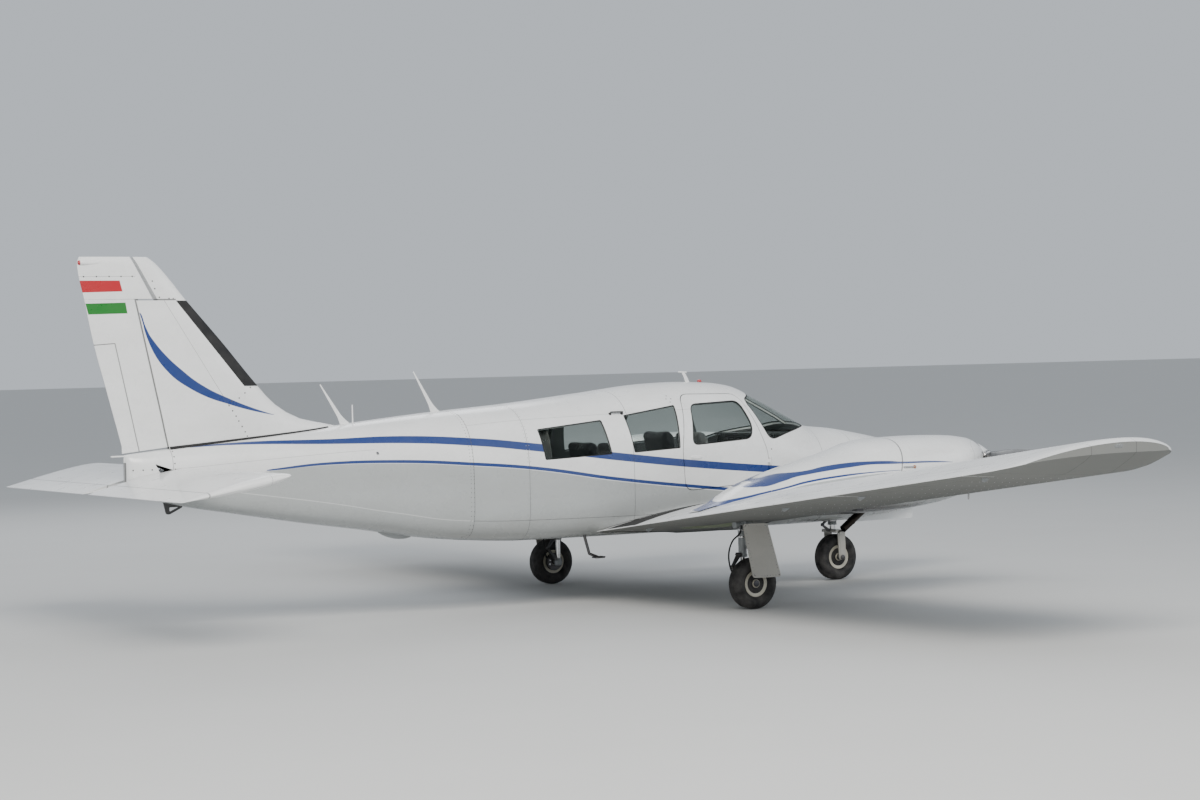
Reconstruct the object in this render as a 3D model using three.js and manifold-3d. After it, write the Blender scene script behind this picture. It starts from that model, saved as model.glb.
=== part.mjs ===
// A low-wing twin-engine light aircraft parked on its gear. Millimetres, +X to the nose, +Y left, +Z up,
// with the origin on the ground below the middle of its length.
import * as THREE from 'three';
import { mergeVertices } from 'three/addons/utils/BufferGeometryUtils.js';
import Module from 'manifold-3d';

const wasm = await Module();
wasm.setup();

// Fits and walls
const SEAT = 0.3;
const DOOR_GAP = 6.5;
const DOOR_SKIN = 8;
const DOOR_PAN_INSET = 36;
const CABIN_WALL = 30;
const TAIL_WALL = 15;
const NOSE_WALL = 22;
const COWL_WALL = 18;
const PANE_DEPTH = 3;
const PANE_THICKNESS = 6;

// Fuselage
const NOSE_SEAM = 2500;
const TAIL_SEAM = -1150;
const FLOOR_Z = 690;
const FUSELAGE_SIDES = 24;
const FUSELAGE = [
  // [x, half width, bottom z, top z, widest z, power above, power below]
  [-4020, 56, 1208, 1460, 1348, 2.4, 2.4],
  [-3950, 72, 1150, 1468, 1330, 2.4, 2.6],
  [-3570, 130, 1035, 1504, 1290, 2.4, 3.0],
  [-3120, 200, 949, 1545, 1260, 2.4, 3.4],
  [-2460, 315, 830, 1601, 1220, 2.5, 3.8],
  [-1980, 395, 753, 1655, 1190, 2.5, 4.0],
  [-1270, 510, 637, 1718, 1150, 2.6, 4.4],
  [-550, 585, 589, 1768, 1120, 2.7, 4.6],
  [210, 618, 583, 1840, 1100, 2.7, 4.6],
  [900, 620, 580, 1907, 1100, 2.7, 4.6],
  [1190, 620, 580, 1915, 1100, 2.7, 4.6],
  [1500, 618, 578, 1903, 1100, 2.65, 4.6],
  [1690, 616, 577, 1877, 1100, 2.6, 4.6],
  [1890, 610, 575, 1792, 1100, 2.5, 4.6],
  [2060, 603, 573, 1712, 1095, 2.45, 4.6],
  [2290, 588, 572, 1595, 1085, 2.4, 4.5],
  [2520, 565, 572, 1483, 1075, 2.4, 4.4],
  [2870, 520, 580, 1442, 1060, 2.4, 4.2],
  [3310, 450, 600, 1363, 1040, 2.3, 3.8],
  [3550, 400, 620, 1307, 1020, 2.3, 3.5],
  [3900, 305, 670, 1205, 995, 2.2, 3.0],
  [4150, 210, 745, 1115, 970, 2.1, 2.5],
  [4300, 118, 835, 1040, 950, 2.0, 2.2],
  [4360, 30, 915, 975, 945, 2.0, 2.0],
];

// Outlines seen from the side, each point [x, z]
const FRONT_WINDOW = [[997, 1352], [1640, 1389], [1675, 1505], [1593, 1741], [1049, 1721]];
const MIDDLE_WINDOW = [[391, 1314], [869, 1335], [890, 1717], [342, 1642]];
const REAR_WINDOW = [[-488, 1285], [167, 1310], [111, 1610], [-524, 1550]];
const WINDSCREEN = [[1854, 1363], [2080, 1427], [2300, 1470], [2490, 1492], [2490, 1900], [1890, 1900],
  [1790, 1785], [1660, 1748]];
const CREW_DOOR = [[905, 953], [1812, 1000], [1818, 1250], [1760, 1420], [1612, 1802], [984, 1812],
  [886, 1312]];
const PASSENGER_DOOR = [[-610, 815], [232, 800], [232, 1660], [160, 1690], [-560, 1640], [-620, 1560]];
const NOSE_DOOR = [[2790, 930], [3310, 930], [3310, 1270], [2790, 1270]];
const FRONT_WINDOW_ROUND = 70;
const WINDOW_ROUND = 16;
const DOOR_ROUND = 90;
const NOSE_DOOR_ROUND = 50;
const SCREEN_ROUND = 40;
const PILLAR = 18;

// Door hinges: a barrel on the door between two on the frame, each with a plate let into the skin
const HINGE = {
  radius: 7, sides: 8, half: 15, reach: 35, gap: 0.3, strap: 20, strapHalf: 4, near: 10, far: 34, proud: 2,
};
const CREW_HINGE = {
  places: [[1820, -632, 1085], [1820, -632, 1185]], along: [0, 0, 1], outward: [0, -1, 0], deep: 32,
};
const PASSENGER_HINGE = {
  places: [[236, 635, 950], [236, 635, 1250]], along: [0, 0, -1], outward: [0, 1, 0], deep: 30,
};
const NOSE_HINGE = {
  places: [[2862, 471.5, 1283.2], [3242, 370.5, 1283.2]], along: [380, -101, 0],
  outward: [0.205, 0.771, 0.603], deep: 24,
};

// Nose baggage room and nose wheel bay
const BAGGAGE = { back: 2540, front: 3350, floor: 875 };
const BAY = { back: 2880, front: 3900, halfWidth: 140, ceiling: 850 };
const BAY_DOOR = { back: 3060, front: 3815, bottom: 545, thickness: 10 };

// Wing
const WING = {
  leadingX: 1645, trailingX: 45, rootY: 620, trailingZ: 657, incidence: 56,
  dihedral: Math.tan(THREE.MathUtils.degToRad(7)), thickness: 0.15, camber: 0.018,
};
const WING_SECTIONS = [
  // [y, leading x, trailing x, share of thickness above, share below, raise]
  [480, 2010, 45, 1.0, 1.0, 0],
  [640, 1930, 45, 1.0, 1.0, 0],
  [1000, 1700, 45, 1.0, 1.0, 0],
  [1250, 1645, 45, 1.0, 1.0, 0],
  [5620, 1645, 45, 1.0, 1.0, 0],
  [5830, 1600, 70, 0.9, 0.45, 5],
  [5930, 1480, 190, 0.45, 0.1, 20],
];
const CONTROL_HINGE_X = 335;
const CONTROL_END_GAP = 11;
const CONTROL_PIN = { radius: 9, gap: 0.9 };
const COVE = 7.5;
const FLAP = { inner: 642, outer: 3878 };
const AILERON = { inner: 3894, outer: 5400 };
const WELL = { x: 850, y: 1030, radius: 235, slotHalf: 80, slotOuter: 1640, ceiling: 70 };
const JACK_PAD = { x: 1240, y: 2650, size: 70, drop: 12 };

// Nacelle, cowling, engine and propeller, at this distance either side
const ENGINE_Y = 1850;
const SHAFT_Z = 1190;
const COWL_SEAM = 2150;
const COWL_FRONT = 3130;
const NACELLE_SIDES = 20;
const NACELLE = [
  // [x, half width, bottom z, top z, widest z, power above, power below]
  [376, 205, 812, 925, 850, 2.0, 2.0],
  [450, 245, 800, 960, 857, 2.1, 2.0],
  [700, 318, 785, 1078, 880, 2.2, 2.2],
  [1220, 374, 768, 1220, 930, 2.3, 2.6],
  [1610, 410, 762, 1309, 980, 2.4, 2.8],
  [1890, 430, 764, 1384, 1030, 2.5, 2.8],
  [2150, 440, 772, 1398, 1070, 2.6, 2.8],
  [2450, 440, 795, 1402, 1110, 2.6, 2.8],
  [2700, 432, 835, 1395, 1140, 2.6, 2.8],
  [2850, 395, 880, 1386, 1160, 2.6, 2.7],
  [2950, 330, 930, 1374, 1175, 2.5, 2.5],
  [3040, 255, 985, 1361, 1185, 2.3, 2.3],
  [3100, 200, 1025, 1351, 1190, 2.1, 2.1],
  [3130, 174, 1045, 1344, 1190, 2.0, 2.0],
];
const ENGINE = { back: 2150, front: 2800, halfWidth: 300, bottom: 960, top: 1290, shaft: 45 };
const INLET = { y: 215, z: 1185, halfWidth: 66, halfHeight: 58, back: 2880 };
const EXHAUST = { top: [2000, 845], bottom: [1690, 630], radius: 32, bore: 26, boreDepth: 60 };
const SPINNER = { back: 3140, tip: 3370, radius: 150 };
const BLADE_SECTIONS = [
  // [radius, chord, thickness, pitch in degrees]
  [90, 90, 60, 50],
  [180, 120, 38, 46],
  [350, 148, 24, 34],
  [600, 150, 16, 24],
  [850, 122, 10, 18],
  [965, 60, 5, 16],
];

// Tail
const TAIL_SECTIONS = [
  // [z, leading x, trailing x, half thickness]
  [1420, -2040, -4008, 66],
  [1600, -2060, -4051, 65],
  [1655, -2270, -4065, 64],
  [1703, -2490, -4077, 64],
  [1826, -2710, -4109, 62],
  [1994, -2870, -4151, 60],
  [2343, -3160, -4240, 55],
  [2687, -3460, -4306, 47],
  [2990, -3718, -4359, 38],
  [3040, -3790, -4340, 16],
];
const RUDDER_HINGE = { low: [-3650, 1492], high: [-3900, 2690] };
const RUDDER = [[-3656, 1520], [-4200, 1466], [-4500, 3100], [-3948, 3060], [-3762, 2700], [-3902, 2700]];
const TAIL_COVE = 9.6;
const RUDDER_PIN = { top: 1519.9, bottom: 1480, radius: 6 };
const FIN_CUT = [[-3640, 1400], [-4600, 1400], [-4600, 3100], [-3943, 3100], [-3714, 2688], [-3900, 2688]];
const STABILATOR = {
  hinge: [-3700, 1283], leading: [-3474, 1325], trailing: [-4345, 1165], halfSpan: 2065, thickness: 0.089,
  tube: 30, tubeHole: 31, clearance: 14,
};
const TAIL_LOOP = [[-3710, 1100], [-3530, 1100], [-3540, 1022], [-3652, 968], [-3680, 972]];
const TAIL_LOOP_HOLE = [[-3650, 992], [-3572, 1026], [-3652, 1026]];

// Gear
const AXLE_X = 850;
const WHEEL_Y = 1690;
const AXLE_Z = 215;
const NOSE_WHEEL_X = 2990;
const WHEEL_SIDES = 20;
const TYRE = { width: 150, innerRadius: 92 };
const RIM = { hubBore: 17, hubRadius: 34, width: 120 };
const MAIN_LEG = { y: 1555, top: 745, radius: 36, pistonRadius: 24, pistonTop: 430, trunnionHalf: 79.7 };
const GEAR_PLATE = [[690, 726], [940, 720], [1070, 262], [782, 268]];
const GEAR_PLATE_Y = [1792, 1804];
const NOSE_LEG = { x: 2960, top: 849, bottom: 520, radius: 42, bore: 30 };
const FORK = { armY: 96, armThickness: 16, crownZ: 462, pistonRadius: 29, pistonTop: 590 };
const STEP = { x: -60, y: 450, top: 660, bend: [0, 451], pad: [90, 415], radius: 14 };

// Cabin fittings
const SEAT_BASE = { length: 430, height: 300, cushion: 400, lip: 50 };
const SEAT_BACK = { foot: 60, lean: 0.23, thickness: 100 };
const SEATS = [
  // [name, back of the base x, centre y, width, height of the back]
  ['pilot_seat', 1260, 275, 440, 920],
  ['copilot_seat', 1260, -275, 440, 920],
  ['middle_seat_left', 420, 255, 420, 850],
  ['middle_seat_right', 420, -255, 420, 850],
  ['rear_bench', -520, 0, 850, 780],
];
const PANEL = { x: 2040, thickness: 35, bottom: 1040, top: 1415, shelfFront: 2400, shelf: 20 };
const YOKE = { y: 300, z: 1215, reach: 1900, shaft: 14, half: 150, rise: 110, bar: 26 };

const PAINT = new THREE.MeshStandardMaterial({ color: 0xe9ebee, roughness: 0.35, metalness: 0.0 });
const GREY_PAINT = new THREE.MeshStandardMaterial({ color: 0xc6c9cc, roughness: 0.4, metalness: 0.1 });
const GLASS = new THREE.MeshStandardMaterial({ color: 0x2c343a, roughness: 0.05, metalness: 0.0 });
const RUBBER = new THREE.MeshStandardMaterial({ color: 0x161616, roughness: 0.85, metalness: 0.0 });
const RIM_PAINT = new THREE.MeshStandardMaterial({ color: 0xd8d5cc, roughness: 0.45, metalness: 0.2 });
const STEEL = new THREE.MeshStandardMaterial({ color: 0x9a9da0, roughness: 0.35, metalness: 0.9 });
const IRON = new THREE.MeshStandardMaterial({ color: 0x4a4b4d, roughness: 0.6, metalness: 0.6 });
const TRIM = new THREE.MeshStandardMaterial({ color: 0x2b2c2e, roughness: 0.8, metalness: 0.0 });
const BLADE_PAINT = new THREE.MeshStandardMaterial({ color: 0x1c1d1f, roughness: 0.5, metalness: 0.2 });

// Solids and booleans
function outward(positions, index) {
  let volume = 0;
  for (let i = 0; i < index.length; i += 3) {
    const [a, b, c] = [0, 1, 2].map((k) => positions[index[i + k]]);
    volume += a[0] * (b[1] * c[2] - b[2] * c[1]) + a[1] * (b[2] * c[0] - b[0] * c[2])
      + a[2] * (b[0] * c[1] - b[1] * c[0]);
  }
  if (volume > 0) return index;
  const flipped = [];
  for (let i = 0; i < index.length; i += 3) flipped.push(index[i], index[i + 2], index[i + 1]);
  return flipped;
}

function meshOf(positions, index) {
  const geometry = new THREE.BufferGeometry();
  geometry.setAttribute('position', new THREE.Float32BufferAttribute(positions.flat(), 3));
  geometry.setIndex(outward(positions, index));
  return geometry;
}

// A closed body through rings of equal length, capped at both ends
function loft(rings) {
  const n = rings[0].length;
  const positions = rings.flat();
  const index = [];
  for (let r = 0; r + 1 < rings.length; r++) {
    for (let i = 0; i < n; i++) {
      const [a, b] = [r * n + i, r * n + (i + 1) % n];
      index.push(a, b, b + n, a, b + n, a + n);
    }
  }
  for (const [ring, start] of [[rings[0], 0], [rings.at(-1), (rings.length - 1) * n]]) {
    const centre = [0, 1, 2].map((k) => ring.reduce((sum, p) => sum + p[k], 0) / n);
    const hub = positions.push(centre) - 1;
    for (let i = 0; i < n; i++) {
      const pair = [start + i, start + (i + 1) % n];
      index.push(hub, ...(start === 0 ? pair.reverse() : pair));
    }
  }
  return meshOf(positions, index);
}

function solid(geometry) {
  const bare = geometry.clone();
  bare.deleteAttribute('normal');
  bare.deleteAttribute('uv');
  const merged = mergeVertices(bare, 1e-3);
  return new wasm.Manifold(new wasm.Mesh({
    numProp: 3,
    vertProperties: new Float32Array(merged.attributes.position.array),
    triVerts: new Uint32Array(merged.index.array),
  }));
}

function geometryOf(manifold) {
  const mesh = manifold.getMesh();
  const geometry = new THREE.BufferGeometry();
  geometry.setAttribute('position', new THREE.BufferAttribute(mesh.vertProperties, 3));
  geometry.setIndex(new THREE.BufferAttribute(mesh.triVerts, 1));
  return geometry;
}

const join = (...parts) => geometryOf(parts.map(solid).reduce((a, b) => a.add(b)));
const cut = (whole, ...tools) => geometryOf(tools.map(solid).reduce((a, b) => a.subtract(b), solid(whole)));
const common = (a, b) => geometryOf(solid(a).intersect(solid(b)));

function mirrored(geometry) {
  const copy = geometry.index ? geometry.clone() : mergeVertices(geometry.clone());
  const at = copy.attributes.position;
  for (let i = 0; i < at.count; i++) at.setY(i, -at.getY(i));
  const index = copy.index.array;
  for (let i = 0; i < index.length; i += 3) [index[i + 1], index[i + 2]] = [index[i + 2], index[i + 1]];
  return copy;
}

// Outlines, prisms and round bars
function inset(points, distance) {
  const n = points.length;
  const area = points.reduce((sum, [x, z], i) => {
    const [u, v] = points[(i + 1) % n];
    return sum + x * v - u * z;
  }, 0);
  const sign = Math.sign(area) * distance;
  const edges = points.map(([x, z], i) => {
    const [u, v] = points[(i + 1) % n];
    const length = Math.hypot(u - x, v - z);
    const [dx, dz] = [(u - x) / length, (v - z) / length];
    return [x - dz * sign, z + dx * sign, dx, dz];
  });
  return edges.map(([x, z, dx, dz], i) => {
    const [px, pz, ex, ez] = edges[(i + n - 1) % n];
    const t = ((x - px) * dz - (z - pz) * dx) / (ex * dz - ez * dx);
    return [px + ex * t, pz + ez * t];
  });
}

function roundedShape(points, radius) {
  const shape = new THREE.Shape();
  const n = points.length;
  points.forEach(([x, z], i) => {
    const towards = ([u, v]) => {
      const length = Math.hypot(u - x, v - z);
      const share = Math.min(radius / length, 0.45);
      return [x + (u - x) * share, z + (v - z) * share];
    };
    const before = towards(points[(i + n - 1) % n]);
    const after = towards(points[(i + 1) % n]);
    if (i === 0) shape.moveTo(...before);
    else shape.lineTo(...before);
    shape.quadraticCurveTo(x, z, ...after);
  });
  shape.closePath();
  return shape;
}

// A prism along Y whose outline is given in X and Z
function prism(points, y0, y1, radius = 0) {
  const shape = radius > 0
    ? roundedShape(points, radius)
    : new THREE.Shape(points.map(([x, z]) => new THREE.Vector2(x, z)));
  const settings = { depth: y1 - y0, bevelEnabled: false, curveSegments: 4 };
  const geometry = new THREE.ExtrudeGeometry(shape, settings);
  return geometry.rotateX(Math.PI / 2).translate(0, y1, 0);
}

function box(x0, x1, y0, y1, z0, z1) {
  return new THREE.BoxGeometry(x1 - x0, y1 - y0, z1 - z0)
    .translate((x0 + x1) / 2, (y0 + y1) / 2, (z0 + z1) / 2);
}

function bar(from, to, radiusFrom, radiusTo = radiusFrom, sides = 10) {
  const [a, b] = [new THREE.Vector3(...from), new THREE.Vector3(...to)];
  const along = b.clone().sub(a);
  const geometry = new THREE.CylinderGeometry(radiusTo, radiusFrom, along.length(), sides);
  const up = new THREE.Vector3(0, 1, 0);
  const turn = new THREE.Quaternion().setFromUnitVectors(up, along.clone().normalize());
  return geometry.applyQuaternion(turn).translate(...a.add(b).multiplyScalar(0.5).toArray());
}

// A ring or disc turned about the Y axis, from [radius, y] points
function turned(profile, sides, x, y, z) {
  const points = profile.map(([radius, along]) => new THREE.Vector2(radius, along));
  const geometry = new THREE.LatheGeometry(points, sides);
  return geometry.rotateY(Math.PI / 2 + Math.PI / sides).translate(x, y, z);
}

// Smooth values between the rows of a table whose first column rises
function between(table, x) {
  const last = table.length - 1;
  let i = 0;
  while (i < last - 1 && x > table[i + 1][0]) i++;
  const step = table[i + 1][0] - table[i][0];
  const t = (x - table[i][0]) / step;
  const rise = (k, c) => (table[k + 1][c] - table[k][c]) / (table[k + 1][0] - table[k][0]);
  const slope = (k, c) => {
    if (k === 0 || k === last) return rise(Math.min(k, last - 1), c);
    const [before, after] = [rise(k - 1, c), rise(k, c)];
    return before * after > 0 ? (2 * before * after) / (before + after) : 0;
  };
  return table[i].map((value, c) => {
    if (c === 0) return x;
    const [end, a, b] = [table[i + 1][c], slope(i, c) * step, slope(i + 1, c) * step];
    return (2 * t ** 3 - 3 * t * t + 1) * value + (t ** 3 - 2 * t * t + t) * a
      + (3 * t * t - 2 * t ** 3) * end + (t ** 3 - t * t) * b;
  });
}

// A rounded hull section: one superellipse above its widest line and one below it
function hullRing(table, x, sides, grow, centreY) {
  const [, half, bottom, top, wide, above, below] = between(table, x);
  return Array.from({ length: sides }, (_, i) => {
    const angle = (2 * Math.PI * i) / sides;
    const [c, s] = [Math.cos(angle), Math.sin(angle)];
    const power = 2 / (s >= 0 ? above : below);
    const reach = grow + (s >= 0 ? top - wide : wide - bottom);
    return [x, centreY + (half + grow) * Math.sign(c) * Math.abs(c) ** power,
      wide + reach * Math.sign(s) * Math.abs(s) ** power];
  });
}

function hull(table, x0, x1, { sides = FUSELAGE_SIDES, grow = 0, centreY = 0 } = {}) {
  const stations = [x0, ...table.map((row) => row[0]).filter((x) => x > x0 + 20 && x < x1 - 20), x1];
  return loft(stations.map((x) => hullRing(table, x, sides, grow, centreY)));
}

// Airfoil: half thickness and camber at a share of the chord
const AIRFOIL_SHARES = [0, 0.012, 0.05, 0.13, 0.27, 0.45, 0.62, 0.78, 0.9, 1];
function halfThickness(share) {
  return 5 * (0.2969 * Math.sqrt(share) - 0.126 * share - 0.3516 * share ** 2 + 0.2843 * share ** 3
    - 0.1015 * share ** 4);
}

// Upper and lower outline of an airfoil as [share, height], once round from the trailing edge
function airfoilLoop(thickness, camber, upper = 1, lower = 1, least = 0.0015) {
  const line = (share) => 4 * camber * share * (1 - share);
  const side = (share, sign, scale) => [
    share, line(share) + sign * scale * Math.max(thickness * halfThickness(share), least)];
  const back = [...AIRFOIL_SHARES].reverse().map((share) => side(share, 1, upper));
  return [...back, ...AIRFOIL_SHARES.slice(1).map((share) => side(share, -1, lower))];
}

function wingChordZ(x, y) {
  const slope = WING.incidence / (WING.leadingX - WING.trailingX);
  return WING.trailingZ + (y - WING.rootY) * WING.dihedral + (x - WING.trailingX) * slope;
}

function wingLoft(grow = 0) {
  return loft(WING_SECTIONS.map(([y, leading, trailing, upper, lower, raise]) => {
    const chord = leading - trailing;
    const deep = WING.leadingX - WING.trailingX;
    return airfoilLoop(WING.thickness, WING.camber, upper, lower).map(([share, height], i) => {
      const x = leading - share * chord + grow * (1 - 2 * share);
      const lift = grow * (i < AIRFOIL_SHARES.length ? 1 : -1);
      return [x, y, wingChordZ(Math.min(x, WING.leadingX), y) + raise + height * deep + lift];
    });
  }));
}

// Height of the wing's upper (1) or lower (-1) surface over its constant-chord part
function wingSurfaceZ(x, y, sign) {
  const share = (WING.leadingX - x) / (WING.leadingX - WING.trailingX);
  const deep = WING.leadingX - WING.trailingX;
  const line = 4 * WING.camber * share * (1 - share);
  return wingChordZ(x, y) + deep * (line + sign * WING.thickness * halfThickness(share));
}

const controlHingeZ = (y) => (wingSurfaceZ(CONTROL_HINGE_X, y, 1) + wingSurfaceZ(CONTROL_HINGE_X, y, -1)) / 2;
const hingeRadius = wingSurfaceZ(CONTROL_HINGE_X, WING.rootY, 1) - controlHingeZ(WING.rootY);

// A flap or aileron: the aft end of the airfoil behind a round nose on the hinge line
function controlSurface({ inner, outer }) {
  const shares = [0, 0.3, 0.62, 0.85, 1];
  const span = CONTROL_HINGE_X - WING.trailingX;
  const ring = (y) => {
    const aft = (sign) => shares.slice(sign > 0 ? 0 : 1).map((share) => {
      const x = CONTROL_HINGE_X - share * span;
      return [x, y, wingSurfaceZ(x, y, sign) + sign * 1.5 * share];
    });
    const nose = [1, 2, 3, 4, 5, 6].map((i) => {
      const angle = -Math.PI / 2 + (Math.PI * i) / 7;
      const [dx, dz] = [hingeRadius * Math.cos(angle), hingeRadius * Math.sin(angle)];
      return [CONTROL_HINGE_X + dx, y, controlHingeZ(y) + dz];
    });
    const bottom = [CONTROL_HINGE_X, y, wingSurfaceZ(CONTROL_HINGE_X, y, -1)];
    return [...aft(1), ...aft(-1).reverse(), bottom, ...nose];
  };
  return loft([ring(inner), ring(outer)]);
}

// A prism along the dihedral, its outline given as [x, height above the hinge line]
function alongWing(points, y0, y1) {
  return loft([y0, y1].map((y) => points.map(([x, z]) => [x, y, z + controlHingeZ(y)])));
}

function circlePoints(x, z, radius, sides) {
  return Array.from({ length: sides }, (_, i) => {
    const angle = (2 * Math.PI * (i + 0.5)) / sides;
    return [x + radius * Math.cos(angle), z + radius * Math.sin(angle)];
  });
}

function wheelWell() {
  const up = (outline) => {
    const low = outline.map(([x, y]) => [x, y, wingChordZ(x, y) - 250]);
    const high = outline.map(([x, y]) => [x, y, wingChordZ(WELL.x, y) + WELL.ceiling]);
    return loft([low, high]);
  };
  const round = circlePoints(WELL.x, WELL.y, WELL.radius, 20);
  const slot = [[WELL.x - WELL.slotHalf, WELL.y], [WELL.x + WELL.slotHalf, WELL.y],
    [WELL.x + WELL.slotHalf, WELL.slotOuter], [WELL.x - WELL.slotHalf, WELL.slotOuter]];
  return join(up(round), up(slot));
}

function jackPad() {
  const { x, y, size, drop } = JACK_PAD;
  const low = wingSurfaceZ(x, y, -1) - drop;
  return box(x - size / 2, x + size / 2, y - size / 2, y + size / 2, low, low + 60);
}

const fuselageSkin = hull(FUSELAGE, TAIL_SEAM, NOSE_SEAM, { grow: SEAT });

function leftWing() {
  const y0 = FLAP.inner - CONTROL_END_GAP;
  const y1 = AILERON.outer + CONTROL_END_GAP;
  const aft = [[CONTROL_HINGE_X, -200], [CONTROL_HINGE_X, 200], [-200, 200], [-200, -200]];
  const behind = alongWing(aft, y0, y1);
  const cove = alongWing(circlePoints(CONTROL_HINGE_X, 0, hingeRadius + COVE, 20), y0, y1);
  const pinOutline = circlePoints(CONTROL_HINGE_X, 0, CONTROL_PIN.radius, 10);
  const pins = [[y0 - 10, FLAP.inner - CONTROL_PIN.gap], [AILERON.outer + CONTROL_PIN.gap, y1 + 10]]
    .map((ends) => alongWing(pinOutline, ...ends));
  return join(cut(join(wingLoft(), jackPad()), fuselageSkin, behind, cove, wheelWell()), ...pins);
}

function exhaustPipe(grow = 0) {
  const [[x0, z0], [x1, z1]] = [EXHAUST.top, EXHAUST.bottom];
  const [dx, dz] = [x1 - x0, z1 - z0].map((step) => (step * grow) / Math.hypot(x1 - x0, z1 - z0));
  return bar([x0 - dx, ENGINE_Y, z0 - dz], [x1 + dx, ENGINE_Y, z1 + dz], EXHAUST.radius + grow);
}

function leftExhaust() {
  const [[x0, z0], [x1, z1]] = [EXHAUST.top, EXHAUST.bottom];
  const length = Math.hypot(x1 - x0, z1 - z0);
  const share = 1 - EXHAUST.boreDepth / length;
  const start = [x0 + (x1 - x0) * share, ENGINE_Y, z0 + (z1 - z0) * share];
  const end = [x0 + (x1 - x0) * 1.1, ENGINE_Y, z0 + (z1 - z0) * 1.1];
  return cut(exhaustPipe(), bar(start, end, EXHAUST.bore));
}

const nacelleHull = (x0, x1, grow = 0) => hull(
  NACELLE, x0, x1, { sides: NACELLE_SIDES, grow, centreY: ENGINE_Y });

function leftNacelle() {
  return cut(nacelleHull(NACELLE[0][0], COWL_SEAM - SEAT), wingLoft(SEAT), exhaustPipe(SEAT));
}

function leftCowling() {
  const shell = nacelleHull(COWL_SEAM, COWL_FRONT);
  const room = nacelleHull(COWL_SEAM - 50, COWL_FRONT - COWL_WALL, -COWL_WALL);
  const inlets = [-1, 1].map((side) => {
    const points = circlePoints(0, 0, 1, 14).map(([a, b]) => [
      ENGINE_Y + side * INLET.y + a * INLET.halfWidth, INLET.z + b * INLET.halfHeight]);
    return loft([INLET.back, COWL_FRONT + 20].map((x) => points.map(([y, z]) => [x, y, z])));
  });
  const [from, to] = [COWL_FRONT - 60, COWL_FRONT + 20];
  const shaftHole = bar([from, ENGINE_Y, SHAFT_Z], [to, ENGINE_Y, SHAFT_Z], 80, 80, 16);
  return cut(shell, room, ...inlets, shaftHole);
}

function leftEngine() {
  const { back, front, halfWidth, bottom, top, shaft } = ENGINE;
  const block = box(back, front, ENGINE_Y - halfWidth, ENGINE_Y + halfWidth, bottom, top);
  const reach = SPINNER.back - SEAT;
  return join(block, bar([front - 10, ENGINE_Y, SHAFT_Z], [reach, ENGINE_Y, SHAFT_Z], shaft, shaft, 16));
}

function leftPropeller() {
  const { back, tip, radius } = SPINNER;
  const rings = [[back, 1], [back + 60, 0.98], [back + 120, 0.85], [back + 180, 0.56], [tip, 0.06]];
  const spinner = loft(rings.map(([x, share]) => circlePoints(0, 0, radius * share, 18)
    .map(([y, z]) => [x, ENGINE_Y + y, SHAFT_Z + z])));
  const middle = back + 62;
  const blade = (side) => loft(BLADE_SECTIONS.map(([reach, chord, thick, pitch]) => {
    const turn = THREE.MathUtils.degToRad(pitch);
    return circlePoints(0, 0, 1, 10).map(([a, b]) => {
      const [along, across] = [(a * chord) / 2, (b * thick) / 2];
      const dx = along * Math.sin(turn) - across * Math.cos(turn);
      const dz = along * Math.cos(turn) + across * Math.sin(turn);
      return [middle + dx, ENGINE_Y + side * reach, SHAFT_Z + side * dz];
    });
  }));
  return join(spinner, blade(1), blade(-1));
}

// One half of a door hinge, with a knuckle or a pair of them at each place along its axis
function hingeHalf({ places, along, outward, deep }, onDoor) {
  const { radius, sides, half, reach, gap, strap, strapHalf, near, far, proud } = HINGE;
  const [axis, out] = [along, outward].map((v) => new THREE.Vector3(...v).normalize());
  const across = new THREE.Vector3().crossVectors(axis, out).multiplyScalar(onDoor ? -1 : 1);
  const rectangle = (t0, t1, o0, o1) => [[t0, o0], [t1, o0], [t1, o1], [t0, o1]];
  const outlines = [circlePoints(0, 0, radius, sides), rectangle(0, strap, -strapHalf, strapHalf),
    rectangle(near, far, -deep, proud)];
  const spans = onDoor ? [[-half, half]] : [[-reach, -half - gap], [half + gap, reach]];
  const point = (centre, step, [t, o]) => new THREE.Vector3(...centre).addScaledVector(axis, step)
    .addScaledVector(across, t).addScaledVector(out, o).toArray();
  const block = (centre, span, outline) => loft(
    span.map((step) => outline.map((place) => point(centre, step, place))));
  const knuckle = (centre, span) => join(...outlines.map((outline) => block(centre, span, outline)));
  return places.flatMap((centre) => spans.map((span) => knuckle(centre, span)));
}

// Cabin
const above = (z) => box(-3000, 4500, -800, 800, z, 2200);
const cabinRoom = (grow) => common(
  hull(FUSELAGE, TAIL_SEAM + CABIN_WALL, NOSE_SEAM - CABIN_WALL, { grow }), above(FLOOR_Z));
const cabinShell = cut(hull(FUSELAGE, TAIL_SEAM + SEAT, NOSE_SEAM), cabinRoom(-CABIN_WALL));
const baggageRoom = common(
  hull(FUSELAGE, BAGGAGE.back, BAGGAGE.front, { grow: -NOSE_WALL }), above(BAGGAGE.floor));
const windscreenOpening = (grow) => prism(inset(WINDSCREEN, grow), PILLAR + grow, 700, SCREEN_ROUND);

// A pane that follows the skin inside an opening; side is 1 on the left and -1 on the right
function pane(opening, x0, x1) {
  const outer = hull(FUSELAGE, x0, x1, { grow: -PANE_DEPTH });
  const inner = hull(FUSELAGE, x0 - 10, x1 + 10, { grow: -PANE_DEPTH - PANE_THICKNESS });
  return common(cut(outer, inner), opening);
}

function windowPrism(points, side, radius, grow = 0) {
  const [y0, y1] = side > 0 ? [250, 700] : [-700, -250];
  return prism(inset(points, grow), y0, y1, radius);
}

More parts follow.
